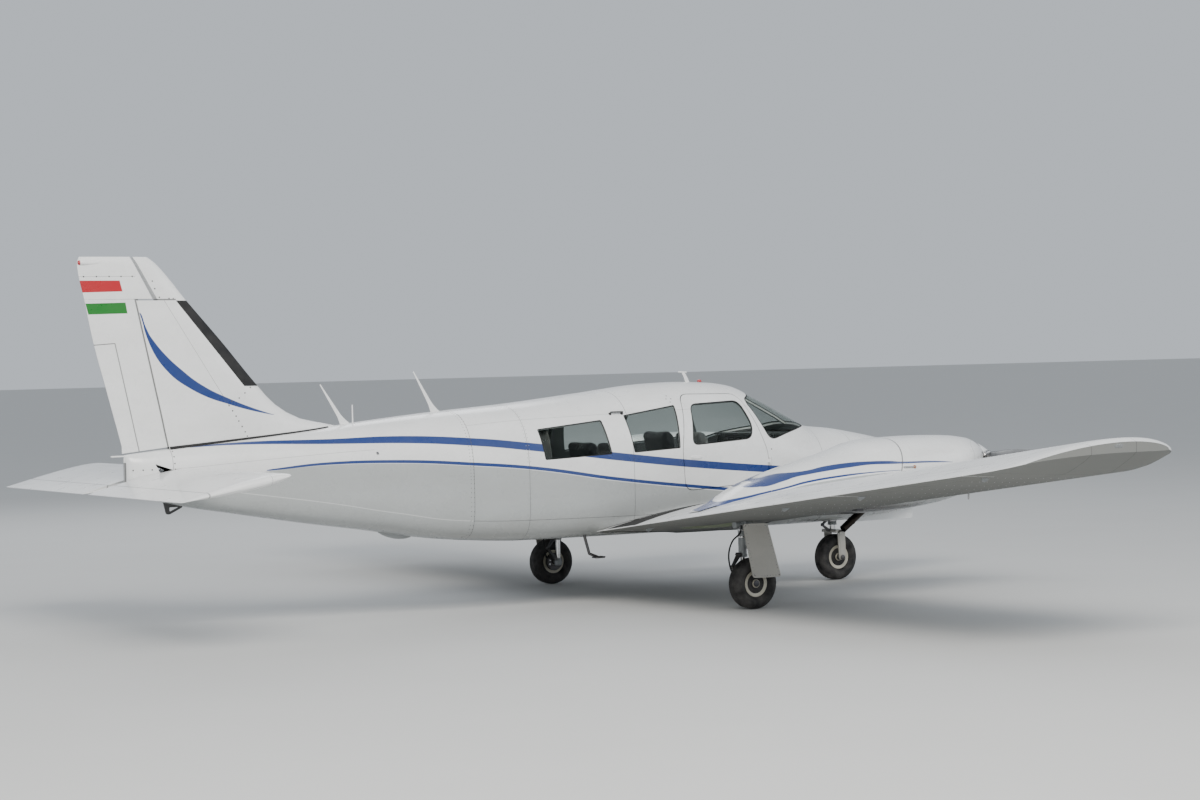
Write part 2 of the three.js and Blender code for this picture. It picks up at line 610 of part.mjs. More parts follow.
function windowPane(points, side, radius) {
  const xs = points.map((p) => p[0]);
  return pane(windowPrism(points, side, radius, SEAT), Math.min(...xs) - 30, Math.max(...xs) + 30);
}

function cabin() {
  const openings = [
    windscreenOpening(0), mirrored(windscreenOpening(0)),
    windowPrism(FRONT_WINDOW, 1, FRONT_WINDOW_ROUND), windowPrism(MIDDLE_WINDOW, 1, WINDOW_ROUND),
    windowPrism(MIDDLE_WINDOW, -1, WINDOW_ROUND), windowPrism(REAR_WINDOW, -1, WINDOW_ROUND),
    windowPrism(CREW_DOOR, -1, DOOR_ROUND), windowPrism(PASSENGER_DOOR, 1, DOOR_ROUND),
  ];
  const knuckles = [CREW_HINGE, PASSENGER_HINGE].flatMap((hinge) => hingeHalf(hinge, false));
  return join(cut(cabinShell, ...openings), ...knuckles);
}

// A door leaf: a thin outer skin that fills its opening and a thicker pan set in from its edges
function doorLeaf(points, side, radius, shell, x0, x1) {
  const skin = cut(hull(FUSELAGE, x0, x1), hull(FUSELAGE, x0 - 10, x1 + 10, { grow: -DOOR_SKIN }));
  return join(common(skin, windowPrism(points, side, radius, DOOR_GAP)),
    common(shell, windowPrism(points, side, radius, DOOR_PAN_INSET)));
}

function crewDoor() {
  const leaf = doorLeaf(CREW_DOOR, -1, DOOR_ROUND, cabinShell, 800, 1900);
  return join(cut(leaf, windowPrism(FRONT_WINDOW, -1, FRONT_WINDOW_ROUND)), ...hingeHalf(CREW_HINGE, true));
}

function passengerDoor() {
  const leaf = doorLeaf(PASSENGER_DOOR, 1, DOOR_ROUND, cabinShell, -700, 300);
  return join(cut(leaf, windowPrism(REAR_WINDOW, 1, WINDOW_ROUND)), ...hingeHalf(PASSENGER_HINGE, true));
}

const noseShell = cut(hull(FUSELAGE, NOSE_SEAM + SEAT, FUSELAGE.at(-1)[0]), baggageRoom);
const bayRoom = box(BAY.back, BAY.front, -BAY.halfWidth, BAY.halfWidth, 300, BAY.ceiling);

function nose() {
  const doorway = windowPrism(NOSE_DOOR, 1, NOSE_DOOR_ROUND);
  return join(cut(noseShell, bayRoom, doorway), ...hingeHalf(NOSE_HINGE, false));
}

function noseDoor() {
  const leaf = doorLeaf(NOSE_DOOR, 1, NOSE_DOOR_ROUND, noseShell, 2700, 3400);
  return join(leaf, ...hingeHalf(NOSE_HINGE, true));
}

function bayDoor() {
  const { back, front, bottom, thickness } = BAY_DOOR;
  const plate = box(back, front, BAY.halfWidth + SEAT, BAY.halfWidth + SEAT + thickness, bottom, 800);
  const skin = hull(FUSELAGE, NOSE_SEAM + SEAT, FUSELAGE.at(-1)[0], { grow: SEAT });
  return cut(plate, skin, mirrored(skin));
}

function tailcone() {
  const outer = hull(FUSELAGE, FUSELAGE[0][0], TAIL_SEAM);
  const inner = hull(FUSELAGE, FUSELAGE[2][0] + 60, TAIL_SEAM + 50, { grow: -TAIL_WALL });
  const [x, z] = STABILATOR.hinge;
  const tubeHole = bar([x, -300, z], [x, 300, z], STABILATOR.tubeHole, STABILATOR.tubeHole, 16);
  const pin = bar(rudderAxis(RUDDER_PIN.bottom), rudderAxis(RUDDER_PIN.top), RUDDER_PIN.radius);
  return join(cut(outer, inner, tubeHole), pin);
}

// Tail surfaces
function tailLoft() {
  return loft(TAIL_SECTIONS.map(([z, leading, trailing, half]) => airfoilLoop(1, 0, 1, 1, 0.03)
    .map(([share, height]) => [leading - share * (leading - trailing), height * 2 * half, z])));
}

const tailSkin = hull(FUSELAGE, FUSELAGE[0][0], TAIL_SEAM, { grow: SEAT });

function rudderAxis(z) {
  const [[x0, z0], [x1, z1]] = [RUDDER_HINGE.low, RUDDER_HINGE.high];
  return [x0 + ((x1 - x0) * (z - z0)) / (z1 - z0), 0, z];
}

function hingeBar(low, high, grow) {
  const [z0, z1] = [RUDDER_HINGE.low[1], RUDDER_HINGE.high[1]];
  const radius = (z) => 54 - ((z - z0) / (z1 - z0)) * 14 + grow;
  return bar(rudderAxis(low), rudderAxis(high), radius(low), radius(high), 16);
}

function fin() {
  return cut(tailLoft(), prism(FIN_CUT, -200, 200), hingeBar(1400, 2690, TAIL_COVE), tailSkin);
}

function rudder() {
  const blade = common(tailLoft(), prism(RUDDER, -200, 200));
  return join(blade, common(hingeBar(1500, 2689, 0), box(-4200, -3400, -200, 200, 1522, 2689)));
}

function stabilator() {
  const { hinge, leading, trailing, halfSpan, thickness, tube, clearance } = STABILATOR;
  const chord = Math.hypot(leading[0] - trailing[0], leading[1] - trailing[1]);
  const [ux, uz] = [(trailing[0] - leading[0]) / chord, (trailing[1] - leading[1]) / chord];
  const section = (y, first, last, thick) => airfoilLoop(thickness, 0, thick, thick, 0.004)
    .map(([share, height]) => {
      const along = (first + share * (last - first)) * chord;
      const out = height * chord;
      return [leading[0] + ux * along - uz * out, y, leading[1] + uz * along + ux * out];
    });
  const ends = [[30, 0, 1, 1], [halfSpan - 60, 0, 1, 1], [halfSpan - 15, 0.015, 0.99, 0.7],
    [halfSpan, 0.05, 0.97, 0.25]];
  const half = (side) => loft(ends.map(([y, ...shares]) => section(side * y, ...shares)));
  const slot = loft([-4500, ...FUSELAGE.slice(0, 5).map((row) => row[0])].map((x) => {
    const y = between(FUSELAGE, Math.max(x, FUSELAGE[0][0]))[1] + clearance;
    return [[x, -y, 900], [x, y, 900], [x, y, 1700], [x, -y, 1700]];
  }));
  const halves = [1, -1].map((side) => cut(half(side), slot));
  return join(...halves, bar([hinge[0], -260, hinge[1]], [hinge[0], 260, hinge[1]], tube, tube, 16));
}

function tailLoop() {
  return cut(cut(prism(TAIL_LOOP, -6, 6), prism(TAIL_LOOP_HOLE, -20, 20)), tailSkin);
}

// Gear
function tyre(x, y) {
  const outer = AXLE_Z / Math.cos(Math.PI / WHEEL_SIDES);
  const half = TYRE.width / 2;
  const inner = TYRE.innerRadius;
  const across = [[inner, 0.62], [inner + 22, 0.9], [outer - 50, 1], [outer - 12, 0.72], [outer, 0.3]];
  const side = (sign) => across.map(([radius, share]) => [radius, sign * half * share]);
  const profile = [...side(-1), ...side(1).reverse(), [inner, -half * 0.62]];
  return turned(profile, WHEEL_SIDES, x, y, AXLE_Z);
}

function rim(x, y) {
  const edge = TYRE.innerRadius - SEAT;
  const half = (TYRE.width / 2) * 0.62;
  const { hubBore, hubRadius, width } = RIM;
  const profile = [[hubBore, -width / 2], [hubRadius, -width / 2], [hubRadius + 6, -20], [edge - 16, -24],
    [edge - 10, -half], [edge, -half], [edge, half], [edge - 10, half], [edge - 16, 24], [hubRadius + 6, 20],
    [hubRadius, width / 2], [hubBore, width / 2], [hubBore, -width / 2]];
  return turned(profile, WHEEL_SIDES, x, y, AXLE_Z);
}

function mainLeg() {
  const { y, top, radius, pistonRadius, pistonTop, trunnionHalf } = MAIN_LEG;
  const post = bar([AXLE_X, y, top - 30], [AXLE_X, y, pistonTop], radius);
  const piston = bar([AXLE_X, y, pistonTop + 10], [AXLE_X, y, AXLE_Z - 22], pistonRadius);
  const trunnion = bar([AXLE_X - trunnionHalf, y, top - 40], [AXLE_X + trunnionHalf, y, top - 40], 34);
  const axle = bar([AXLE_X, y - 10, AXLE_Z], [AXLE_X, WHEEL_Y + RIM.width / 2, AXLE_Z], RIM.hubBore - 1);
  const links = join(box(AXLE_X - 100, AXLE_X - 10, y - 12, y + 12, 438, 462),
    box(AXLE_X - 100, AXLE_X - 78, y - 12, y + 12, 338, 462),
    box(AXLE_X - 100, AXLE_X - 10, y - 12, y + 12, 252, 276),
    box(AXLE_X - 100, AXLE_X - 78, y - 12, y + 12, 252, 350));
  const arm = box(AXLE_X + 5, AXLE_X + 35, y, GEAR_PLATE_Y[0] - SEAT, 500, 524);
  return join(post, piston, trunnion, axle, links, arm);
}

const gearPlate = () => prism(GEAR_PLATE, ...GEAR_PLATE_Y, 24);

function noseLeg() {
  const { x, top, bottom, radius, bore } = NOSE_LEG;
  const post = bar([x, 0, bottom], [x, 0, top], radius, radius, 16);
  const trunnion = bar([x, -BAY.halfWidth + SEAT, top - 60], [x, BAY.halfWidth - SEAT, top - 60], 24);
  return cut(join(post, trunnion), bar([x, 0, bottom - 20], [x, 0, FORK.pistonTop + 10], bore, bore, 16));
}

function noseFork() {
  const { armY, armThickness, crownZ, pistonRadius, pistonTop } = FORK;
  const piston = bar([NOSE_LEG.x, 0, crownZ], [NOSE_LEG.x, 0, pistonTop], pistonRadius, pistonRadius, 16);
  const outer = armY + armThickness;
  const crown = box(NOSE_LEG.x - 45, NOSE_LEG.x + 75, -outer, outer, crownZ - 14, crownZ + 14);
  const outline = [[NOSE_WHEEL_X - 28, AXLE_Z - 26], [NOSE_WHEEL_X + 28, AXLE_Z - 26],
    [NOSE_WHEEL_X + 34, crownZ + 14], [NOSE_WHEEL_X - 50, crownZ + 14]];
  const arms = [1, -1].map((side) => prism(outline, ...(side > 0
    ? [armY, outer] : [-outer, -armY]), 10));
  const axle = bar([NOSE_WHEEL_X, -armY - 10, AXLE_Z], [NOSE_WHEEL_X, armY + 10, AXLE_Z], RIM.hubBore - 1);
  const scissor = box(NOSE_LEG.x - 95, NOSE_LEG.x - 15, -12, 12, crownZ - 10, crownZ + 12);
  return join(piston, crown, ...arms, axle, scissor);
}

function boardingStep() {
  const { x, y, top, bend, pad, radius } = STEP;
  const drop = bar([x, -y, top], [bend[0], -y, bend[1]], radius);
  const run = bar([bend[0] - 4, -y, bend[1] + 2], [pad[0], -y, pad[1]], radius);
  const plate = box(pad[0] - 50, pad[0] + 45, -y - 55, -y + 40, pad[1] - 6, pad[1] + 8);
  return cut(join(drop, run, plate), fuselageSkin);
}

// Cabin fittings
function seat(x, y, width, backHeight) {
  const { length, height, cushion, lip } = SEAT_BASE;
  const { foot, lean, thickness } = SEAT_BACK;
  const reach = foot - (backHeight - cushion) * lean;
  const outline = [[0, 0], [length, 0], [length, height], [length + lip, height + 30],
    [length + lip, cushion], [foot, cushion], [reach, backHeight], [reach - thickness, backHeight],
    [foot - thickness, height + 30], [0, height]];
  const placed = outline.map(([dx, dz]) => [x + dx, FLOOR_Z + SEAT + dz]);
  return prism(placed, y - width / 2, y + width / 2);
}

function instrumentPanel() {
  const { x, thickness, bottom, top, shelfFront, shelf } = PANEL;
  const board = join(box(x, x + thickness, -700, 700, bottom, top),
    box(x, shelfFront, -700, 700, top - shelf, top));
  const fitted = common(board, cabinRoom(-CABIN_WALL - SEAT));
  const yokes = [1, -1].map((side) => {
    const shaft = bar([x + 5, side * YOKE.y, YOKE.z], [YOKE.reach, side * YOKE.y, YOKE.z], YOKE.shaft);
    const bars = [[-YOKE.half, YOKE.half, -YOKE.bar / 2, YOKE.bar / 2],
      [-YOKE.half, -YOKE.half + YOKE.bar, -YOKE.bar / 2, YOKE.rise],
      [YOKE.half - YOKE.bar, YOKE.half, -YOKE.bar / 2, YOKE.rise]].map(([y0, y1, z0, z1]) => box(
      YOKE.reach - YOKE.bar / 2, YOKE.reach + YOKE.bar / 2,
      side * YOKE.y + y0, side * YOKE.y + y1, YOKE.z + z0, YOKE.z + z1));
    return join(shaft, ...bars);
  });
  return join(fitted, ...yokes);
}

// Assembly
const aircraft = new THREE.Group();

function add(name, geometry, material) {
  const mesh = new THREE.Mesh(geometry, material);
  mesh.name = name;
  aircraft.add(mesh);
}

function addPair(name, geometry, material) {
  add(`${name}_left`, geometry, material);
  add(`${name}_right`, mirrored(geometry), material);
}

add('cabin', cabin(), PAINT);
add('tailcone', tailcone(), PAINT);
add('nose', nose(), PAINT);
add('crew_door', crewDoor(), PAINT);
add('crew_door_window', windowPane(FRONT_WINDOW, -1, FRONT_WINDOW_ROUND), GLASS);
add('passenger_door', passengerDoor(), PAINT);
add('passenger_door_window', windowPane(REAR_WINDOW, 1, WINDOW_ROUND), GLASS);
add('nose_door', noseDoor(), PAINT);
add('front_window_left', windowPane(FRONT_WINDOW, 1, FRONT_WINDOW_ROUND), GLASS);
addPair('middle_window', windowPane(MIDDLE_WINDOW, 1, WINDOW_ROUND), GLASS);
add('rear_window_right', windowPane(REAR_WINDOW, -1, WINDOW_ROUND), GLASS);
addPair('windscreen', pane(windscreenOpening(SEAT), 1600, 2510), GLASS);
add('instrument_panel', instrumentPanel(), TRIM);
for (const [name, ...place] of SEATS) add(name, seat(...place), TRIM);

addPair('wing', leftWing(), PAINT);
addPair('flap', controlSurface(FLAP), PAINT);
addPair('aileron', controlSurface(AILERON), PAINT);
addPair('nacelle', leftNacelle(), PAINT);
addPair('cowling', leftCowling(), PAINT);
addPair('engine', leftEngine(), IRON);
addPair('exhaust', leftExhaust(), STEEL);
addPair('propeller', leftPropeller(), BLADE_PAINT);

add('fin', fin(), PAINT);
add('rudder', rudder(), PAINT);
add('stabilator', stabilator(), PAINT);
add('tail_loop', tailLoop(), IRON);

addPair('main_leg', mainLeg(), GREY_PAINT);
addPair('gear_door', gearPlate(), GREY_PAINT);
addPair('main_tyre', tyre(AXLE_X, WHEEL_Y), RUBBER);
addPair('main_rim', rim(AXLE_X, WHEEL_Y), RIM_PAINT);
add('nose_leg', noseLeg(), GREY_PAINT);
add('nose_fork', noseFork(), GREY_PAINT);
add('nose_tyre', tyre(NOSE_WHEEL_X, 0), RUBBER);
add('nose_rim', rim(NOSE_WHEEL_X, 0), RIM_PAINT);
addPair('nose_gear_door', bayDoor(), GREY_PAINT);
add('boarding_step', boardingStep(), STEEL);

export default aircraft;
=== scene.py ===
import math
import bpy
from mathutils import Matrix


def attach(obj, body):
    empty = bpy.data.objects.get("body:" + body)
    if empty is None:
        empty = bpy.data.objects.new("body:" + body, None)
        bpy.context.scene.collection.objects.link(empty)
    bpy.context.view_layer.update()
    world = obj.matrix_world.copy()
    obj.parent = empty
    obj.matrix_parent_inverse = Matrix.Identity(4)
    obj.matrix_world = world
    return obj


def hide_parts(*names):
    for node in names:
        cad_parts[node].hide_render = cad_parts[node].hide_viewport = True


bl_info = {
    "name": "Twin Engine Light Aircraft",
    "version": (1, 0, 0),
    "blender": (4, 5, 0),
    "location": "View3D > Sidebar > Aircraft",
    "description": "Finishes a parked low-wing light aircraft with two engines around its fixed frame",
    "category": "Object",
}

from functools import reduce

import bmesh
import bpy
import numpy as np
from mathutils import Matrix, Vector
from mathutils.geometry import delaunay_2d_cdt

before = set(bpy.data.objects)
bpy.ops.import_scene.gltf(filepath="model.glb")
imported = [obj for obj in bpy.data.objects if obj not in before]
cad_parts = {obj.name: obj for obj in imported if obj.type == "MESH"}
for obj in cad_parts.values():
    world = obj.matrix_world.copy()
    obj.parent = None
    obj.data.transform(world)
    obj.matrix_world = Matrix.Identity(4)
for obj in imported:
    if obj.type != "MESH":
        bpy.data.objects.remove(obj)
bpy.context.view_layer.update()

# Colours, as linear red, green and blue
COLOURS = {
    "white": (0.86, 0.865, 0.86),
    "silver": (0.40, 0.42, 0.42),
    "blue": (0.001, 0.030, 0.18),
    "red": (0.46, 0.002, 0.012),
    "green": (0.0, 0.17, 0.012),
    "black": (0.012, 0.012, 0.013),
    # A grey darkened as painted shade under the wings and on their tips
    "under_shade": (0.20, 0.205, 0.195),
    # The dark of the seams, also used for painted shade lines along steps
    "seam_and_step_shade": (0.05, 0.05, 0.052),
    "rivet": (0.05, 0.05, 0.05),
    "grime": (0.20, 0.185, 0.16),
    "dust": (0.16, 0.15, 0.14),
    # Soot, and the black that paints shade inside closed hollows
    "soot": (0.025, 0.022, 0.02),
    "cream": (0.62, 0.58, 0.47),
    "leg": (0.33, 0.35, 0.36),
    "plate": (0.50, 0.48, 0.43),
    "blade": (0.045, 0.047, 0.05),
    "boot": (0.014, 0.014, 0.015),
    "rubber": (0.011, 0.011, 0.012),
    "steel": (0.45, 0.45, 0.46),
    "chrome": (0.75, 0.76, 0.78),
    "iron": (0.10, 0.10, 0.11),
    "copper": (0.62, 0.25, 0.11),
    "rust": (0.045, 0.036, 0.03),
    "charcoal": (0.085, 0.087, 0.095),
    "trim": (0.30, 0.31, 0.31),
    "panel": (0.03, 0.031, 0.033),
    "primer": (0.28, 0.33, 0.22),
    "carpet": (0.05, 0.052, 0.06),
    "glass": (0.02, 0.028, 0.026),
}

# Lengths below are in millimetres in the frame's axes, and MM turns them into metres
MM = 0.001
RIGHT, LEFT = -1, 1

# Fuselage
NOSE_SEAM = 2500
TAIL_SEAM = -1150
FLOOR_Z = 690
SKIN = 8
FUSELAGE = np.array([
    # x, half width, bottom z, top z, widest z, power above, power below
    [-4020, 10, 1208, 1460, 1348, 2.4, 2.4],
    [-4008, 38, 1198, 1461, 1345, 2.4, 2.4],
    [-3985, 58, 1178, 1464, 1338, 2.4, 2.5],
    [-3950, 72, 1150, 1468, 1330, 2.4, 2.6],
    [-3570, 130, 1035, 1504, 1290, 2.4, 3.0],
    [-3120, 200, 949, 1545, 1260, 2.4, 3.4],
    [-2460, 315, 830, 1601, 1220, 2.5, 3.8],
    [-1980, 395, 753, 1655, 1190, 2.5, 4.0],
    [-1270, 510, 637, 1718, 1150, 2.6, 4.4],
    [-550, 585, 589, 1768, 1120, 2.7, 4.6],
    [210, 618, 583, 1840, 1100, 2.7, 4.6],
    [900, 620, 580, 1907, 1100, 2.7, 4.6],
    [1190, 620, 580, 1915, 1100, 2.7, 4.6],
    [1500, 618, 578, 1903, 1100, 2.65, 4.6],
    [1690, 616, 577, 1877, 1100, 2.6, 4.6],
    [1890, 610, 575, 1792, 1100, 2.5, 4.6],
    [2060, 603, 573, 1712, 1095, 2.45, 4.6],
    [2290, 588, 572, 1595, 1085, 2.4, 4.5],
    [2520, 565, 572, 1483, 1075, 2.4, 4.4],
    [2870, 520, 580, 1442, 1060, 2.4, 4.2],
    [3310, 450, 600, 1363, 1040, 2.3, 3.8],
    [3550, 400, 620, 1307, 1020, 2.3, 3.5],
    [3900, 305, 670, 1205, 995, 2.2, 3.0],
    [4150, 210, 745, 1115, 970, 2.1, 2.5],
    [4300, 118, 835, 1040, 950, 2.0, 2.2],
    [4360, 30, 915, 975, 945, 2.0, 2.0],
])

# Outlines seen from the side, each point x, z
FRONT_WINDOW = [[997, 1352], [1640, 1389], [1675, 1505], [1593, 1741], [1049, 1721]]
MIDDLE_WINDOW = [[391, 1314], [869, 1335], [890, 1717], [342, 1642]]
REAR_WINDOW = [[-488, 1285], [167, 1310], [111, 1610], [-524, 1550]]
CREW_DOOR = [[905, 953], [1812, 1000], [1818, 1250], [1760, 1420], [1612, 1802], [984, 1812], [886, 1312]]
PASSENGER_DOOR = [[-610, 815], [232, 800], [232, 1660], [160, 1690], [-560, 1640], [-620, 1560]]
NOSE_DOOR = [[2790, 930], [3310, 930], [3310, 1270], [2790, 1270]]
FRONT_WINDOW_ROUND, WINDOW_ROUND, DOOR_ROUND, NOSE_DOOR_ROUND, SCREEN_ROUND = 70, 16, 90, 50, 80
SCREEN_SILL = [[1854, 1363], [2080, 1427], [2300, 1470], [2430, 1487]]
SCREEN_BACK = [[1790, 1785], [1660, 1748]]
PILLAR = 18
DOOR_GAP = 7
PAN_INSET = 36

# Door hinges: places on the axis, the axis and the way out of the skin
CREW_HINGE = ([[1820, -632, 1085], [1820, -632, 1185]], [0, 0, 1], [0, -1, 0], 32)
PASSENGER_HINGE = ([[236, 635, 950], [236, 635, 1250]], [0, 0, -1], [0, 1, 0], 30)
NOSE_HINGE = ([[2862, 471.5, 1283.2], [3242, 370.5, 1283.2]], [380, -101, 0], [0.205, 0.771, 0.603], 24)

# Nose rooms
BAGGAGE = (2540, 3350, 875)
BAY = (2880, 3900, 140, 850)

# Wing
LEADING_X, TRAILING_X, ROOT_Y, TRAILING_Z, INCIDENCE = 1645, 45, 620, 657, 56
DIHEDRAL = math.tan(math.radians(7))
THICKNESS, CAMBER = 0.15, 0.018
DEEP = LEADING_X - TRAILING_X
WING_SECTIONS = np.array([
    # y, leading x, trailing x, share of thickness above, share below, raise
    [380, 2050, 45, 1.0, 1.0, 0],
    [480, 2010, 45, 1.0, 1.0, 0],
    [640, 1930, 45, 1.0, 1.0, 0],
    [1000, 1700, 45, 1.0, 1.0, 0],
    [1250, 1645, 45, 1.0, 1.0, 0],
    [5620, 1645, 45, 1.0, 1.0, 0],
    [5830, 1600, 70, 0.9, 0.45, 5],
    [5930, 1480, 190, 0.45, 0.1, 20],
])
HINGE_X = 335
FLAP = (642, 3878)
AILERON = (3894, 5400)
END_GAP = 8
COVE, HINGE_GAP = 4, 6
WELL_X, WELL_Y, WELL_RADIUS, WELL_SLOT, WELL_END, WELL_CEILING = 850, 1030, 235, 80, 1640, 70

# Nacelles
ENGINE_Y, SHAFT_Z = 1850, 1190
COWL_SEAM, COWL_FRONT = 2150, 3130
NACELLE = np.array([
    # x, half width, bottom z, top z, widest z, power above, power below
    [376, 205, 812, 925, 850, 2.0, 2.0],
    [450, 245, 800, 960, 857, 2.1, 2.0],
    [700, 318, 785, 1078, 880, 2.2, 2.2],
    [1220, 374, 768, 1220, 930, 2.3, 2.6],
    [1610, 410, 762, 1309, 980, 2.4, 2.8],
    [1890, 430, 764, 1384, 1030, 2.5, 2.8],
    [2150, 440, 772, 1398, 1070, 2.6, 2.8],
    [2450, 440, 795, 1402, 1110, 2.6, 2.8],
    [2700, 432, 835, 1397, 1140, 2.6, 2.8],
    [2850, 395, 880, 1388, 1160, 2.6, 2.7],
    [2950, 330, 930, 1373, 1172, 2.5, 2.5],
    [3040, 255, 985, 1347, 1178, 2.3, 2.3],
    [3100, 200, 1022, 1324, 1182, 2.1, 2.1],
    [3130, 172, 1042, 1310, 1185, 2.0, 2.0],
])
NACELLE_TAIL = np.array([
    # x, half width, bottom z, top z, widest z
    [190, 120, 812, 866, 840],
    [280, 175, 812, 892, 845],
    [380, 207, 812, 927, 850],
])
INLET = (215, 1185, 66, 58)
EXHAUST = ([2000, 845], [1690, 630], 32)
SPINNER = (3140, 3370, 132)
BLADE_SECTIONS = np.array([
    # reach, chord, thickness, pitch in degrees
    [90, 90, 60, 50],
    [180, 120, 38, 46],
    [350, 148, 24, 34],
    [600, 150, 16, 24],
    [850, 122, 10, 18],
    [965, 60, 5, 16],
])

# Tail
TAIL_SECTIONS = np.array([
    # z, leading x, trailing x, half thickness
    [1420, -2040, -4008, 66],
    [1600, -2060, -4051, 65],
    [1655, -2270, -4065, 64],
    [1703, -2490, -4077, 64],
    [1826, -2710, -4109, 62],
    [1994, -2870, -4151, 60],
    [2343, -3160, -4240, 55],
    [2687, -3460, -4306, 47],
    [2990, -3718, -4359, 38],
    [3040, -3790, -4340, 16],
])
RUDDER_LOW, RUDDER_HIGH = (-3650, 1492), (-3900, 2690)
FIN_STUDS = [[-2941, 1971], [-2994, 1928], [-3047, 1888], [-3115, 1864], [-3138, 1829], [-3109, 1786], [-3080, 1742],
             [-3058, 1702], [-3029, 1656], [-3003, 1612], [-2986, 1576], [-3756, 2842], [-3738, 2782],
             [-3702, 2712], [-3620, 2702], [-3583, 2701]]
RUDDER_STUDS = [[-4309, 2880], [-4208, 2880], [-4108, 2880], [-4012, 2880], [-3922, 2880]]
STABILATOR = {"hinge": (-3700, 1283), "leading": (-3474, 1325), "trailing": (-4345, 1165), "half": 2065,
              "thickness": 0.089, "tube": 30, "clearance": 14}

# Gear
AXLE_X, WHEEL_Y, AXLE_Z, NOSE_WHEEL_X = 850, 1690, 215, 2990
TYRE_WIDTH, RIM_RADIUS, HUB_BORE = 150, 108, 17
LEG_Y = 1555
GEAR_PLATE = [[690, 726], [940, 720], [1070, 262], [782, 268]]
NOSE_LEG_X = 2960

# Numbers from a table whose first column rises
def hermite(table, slope, at):
    """Every column at each place, on curves with a slope for each row."""
    i = np.clip(np.searchsorted(table[:, 0], at) - 1, 0, len(table) - 2)
    step = (table[i + 1, 0] - table[i, 0])[:, None]
    t = (at[:, None] - table[i, :1]) / step
    return ((2 * t**3 - 3 * t * t + 1) * table[i, 1:] + (t**3 - 2 * t * t + t) * slope[i] * step
            + (3 * t * t - 2 * t**3) * table[i + 1, 1:] + (t**3 - t * t) * slope[i + 1] * step)


def between(table, at):
    """Smooth values of every column at each place, without overshoot."""
    rise = np.diff(table[:, 1:], axis=0) / np.diff(table[:, :1], axis=0)
    both = rise[:-1] * rise[1:]
    total = rise[:-1] + rise[1:]
    inner = np.where(both > 0, 2 * both / np.where(total == 0, 1, total), 0)
    return hermite(table, np.vstack([rise[:1], inner, rise[-1:]]), np.atleast_1d(np.asarray(at, float)))


def curve(points, count=24):
    """A smooth path through a few points."""
    points = np.asarray(points, float)
    length = np.concatenate([[0], np.cumsum(np.linalg.norm(np.diff(points, axis=0), axis=1))])
    slope = np.gradient(points, length, axis=0)
    return hermite(np.column_stack([length, points]), slope, np.linspace(0, length[-1], count))


def unit(vectors):
    vectors = np.asarray(vectors, float)
    return vectors / np.linalg.norm(vectors, axis=-1, keepdims=True)


def columns(*parts):
    """Points from their columns, where a number fills its column."""
    return np.stack(np.broadcast_arrays(*parts), -1)


def level(outline, z):
    """An outline in x and y put at a height."""
    return columns(outline[:, 0], outline[:, 1], z)


def turns(count, shift=0.0):
    """Angles spread evenly round a full turn."""
    return 2 * math.pi * (np.arange(count) + shift) / count


# A rounded hull: one superellipse above its widest line and one below it
def hull_points(table, x, angle, grow=0.0, centre_y=0.0):
    """Points at x and an angle that is 0 at the left, a quarter turn at the top."""
    x, angle = np.broadcast_arrays(np.asarray(x, float), np.asarray(angle, float))
    half, bottom, top, wide, above, below = between(table, x.ravel()).T.reshape(6, *x.shape)
    c, s = np.cos(angle), np.sin(angle)
    power = 2 / np.where(s >= 0, above, below)
    reach = np.where(s >= 0, top - wide, wide - bottom)
    y = np.maximum(half + grow, 2) * np.sign(c) * np.abs(c) ** power
    z = np.maximum(reach + grow, 2) * np.sign(s) * np.abs(s) ** power
    return np.stack([x, centre_y + y, wide + z], -1)


# The skin laid flat: x and the length round a reference section, from the top down the right side and back
SEAM_ANGLE = np.linspace(-1.5 * math.pi, 0.5 * math.pi, 4001)
_reference = hull_points(FUSELAGE, 900.0, SEAM_ANGLE)
ROUND_SKIN = np.concatenate([[0], np.cumsum(np.linalg.norm(np.diff(_reference, axis=0), axis=1))])
GIRTH = ROUND_SKIN[-1]


def skin_points(flat, grow=0.0):
    """Points of the fuselage skin from flat x and girth, grown outwards."""
    return hull_points(FUSELAGE, flat[:, 0], np.interp(flat[:, 1], ROUND_SKIN, SEAM_ANGLE), grow)


def flat_from_side(points, side):
    """Flat x and girth of points x, z on one side of the skin."""
    x, z = np.asarray(points, float).T
    _, bottom, top, wide, above, below = between(FUSELAGE, x).T
    high = z >= wide
    share = np.clip(np.abs(z - wide) / np.where(high, top - wide, wide - bottom), 0, 1)
    angle = np.arcsin(share ** (np.where(high, above, below) / 2)) * np.where(high, 1, -1)
    return columns(x, np.interp(angle if side == LEFT else -math.pi - angle, SEAM_ANGLE, ROUND_SKIN))


def flat_from_plan(points, above=True):
    """Flat x and girth of points x, y on the top or the bottom of the skin."""
    x, y = np.asarray(points, float).T
    half, _, _, _, high, low = between(FUSELAGE, x).T
    angle = np.arccos(np.clip(np.abs(y) / half, 0, 1) ** ((high if above else low) / 2)) * (1 if above else -1)
    return columns(x, np.interp(np.where(y >= 0, angle, -math.pi - angle), SEAM_ANGLE, ROUND_SKIN))


def side_y(x, z, grow=0.0, table=FUSELAGE):
    """Half width of a hull at x, z."""
    half, bottom, top, wide, above, below = between(table, x).T
    high = np.asarray(z, float) >= wide
    share = np.clip(np.abs(z - wide) / (np.where(high, top - wide, wide - bottom) + grow), 0, 1)
    power = np.where(high, above, below)
    return (half + grow) * (1 - share**power) ** (1 / power)


def skin_z(x, y, above=True):
    """Height of the top or the bottom of the fuselage at x, y."""
    half, bottom, top, wide, high, low = between(FUSELAGE, x).T
    end, power = (top, high) if above else (bottom, low)
    return wide + (end - wide) * (1 - np.clip(y / half, 0, 1) ** power) ** (1 / power)


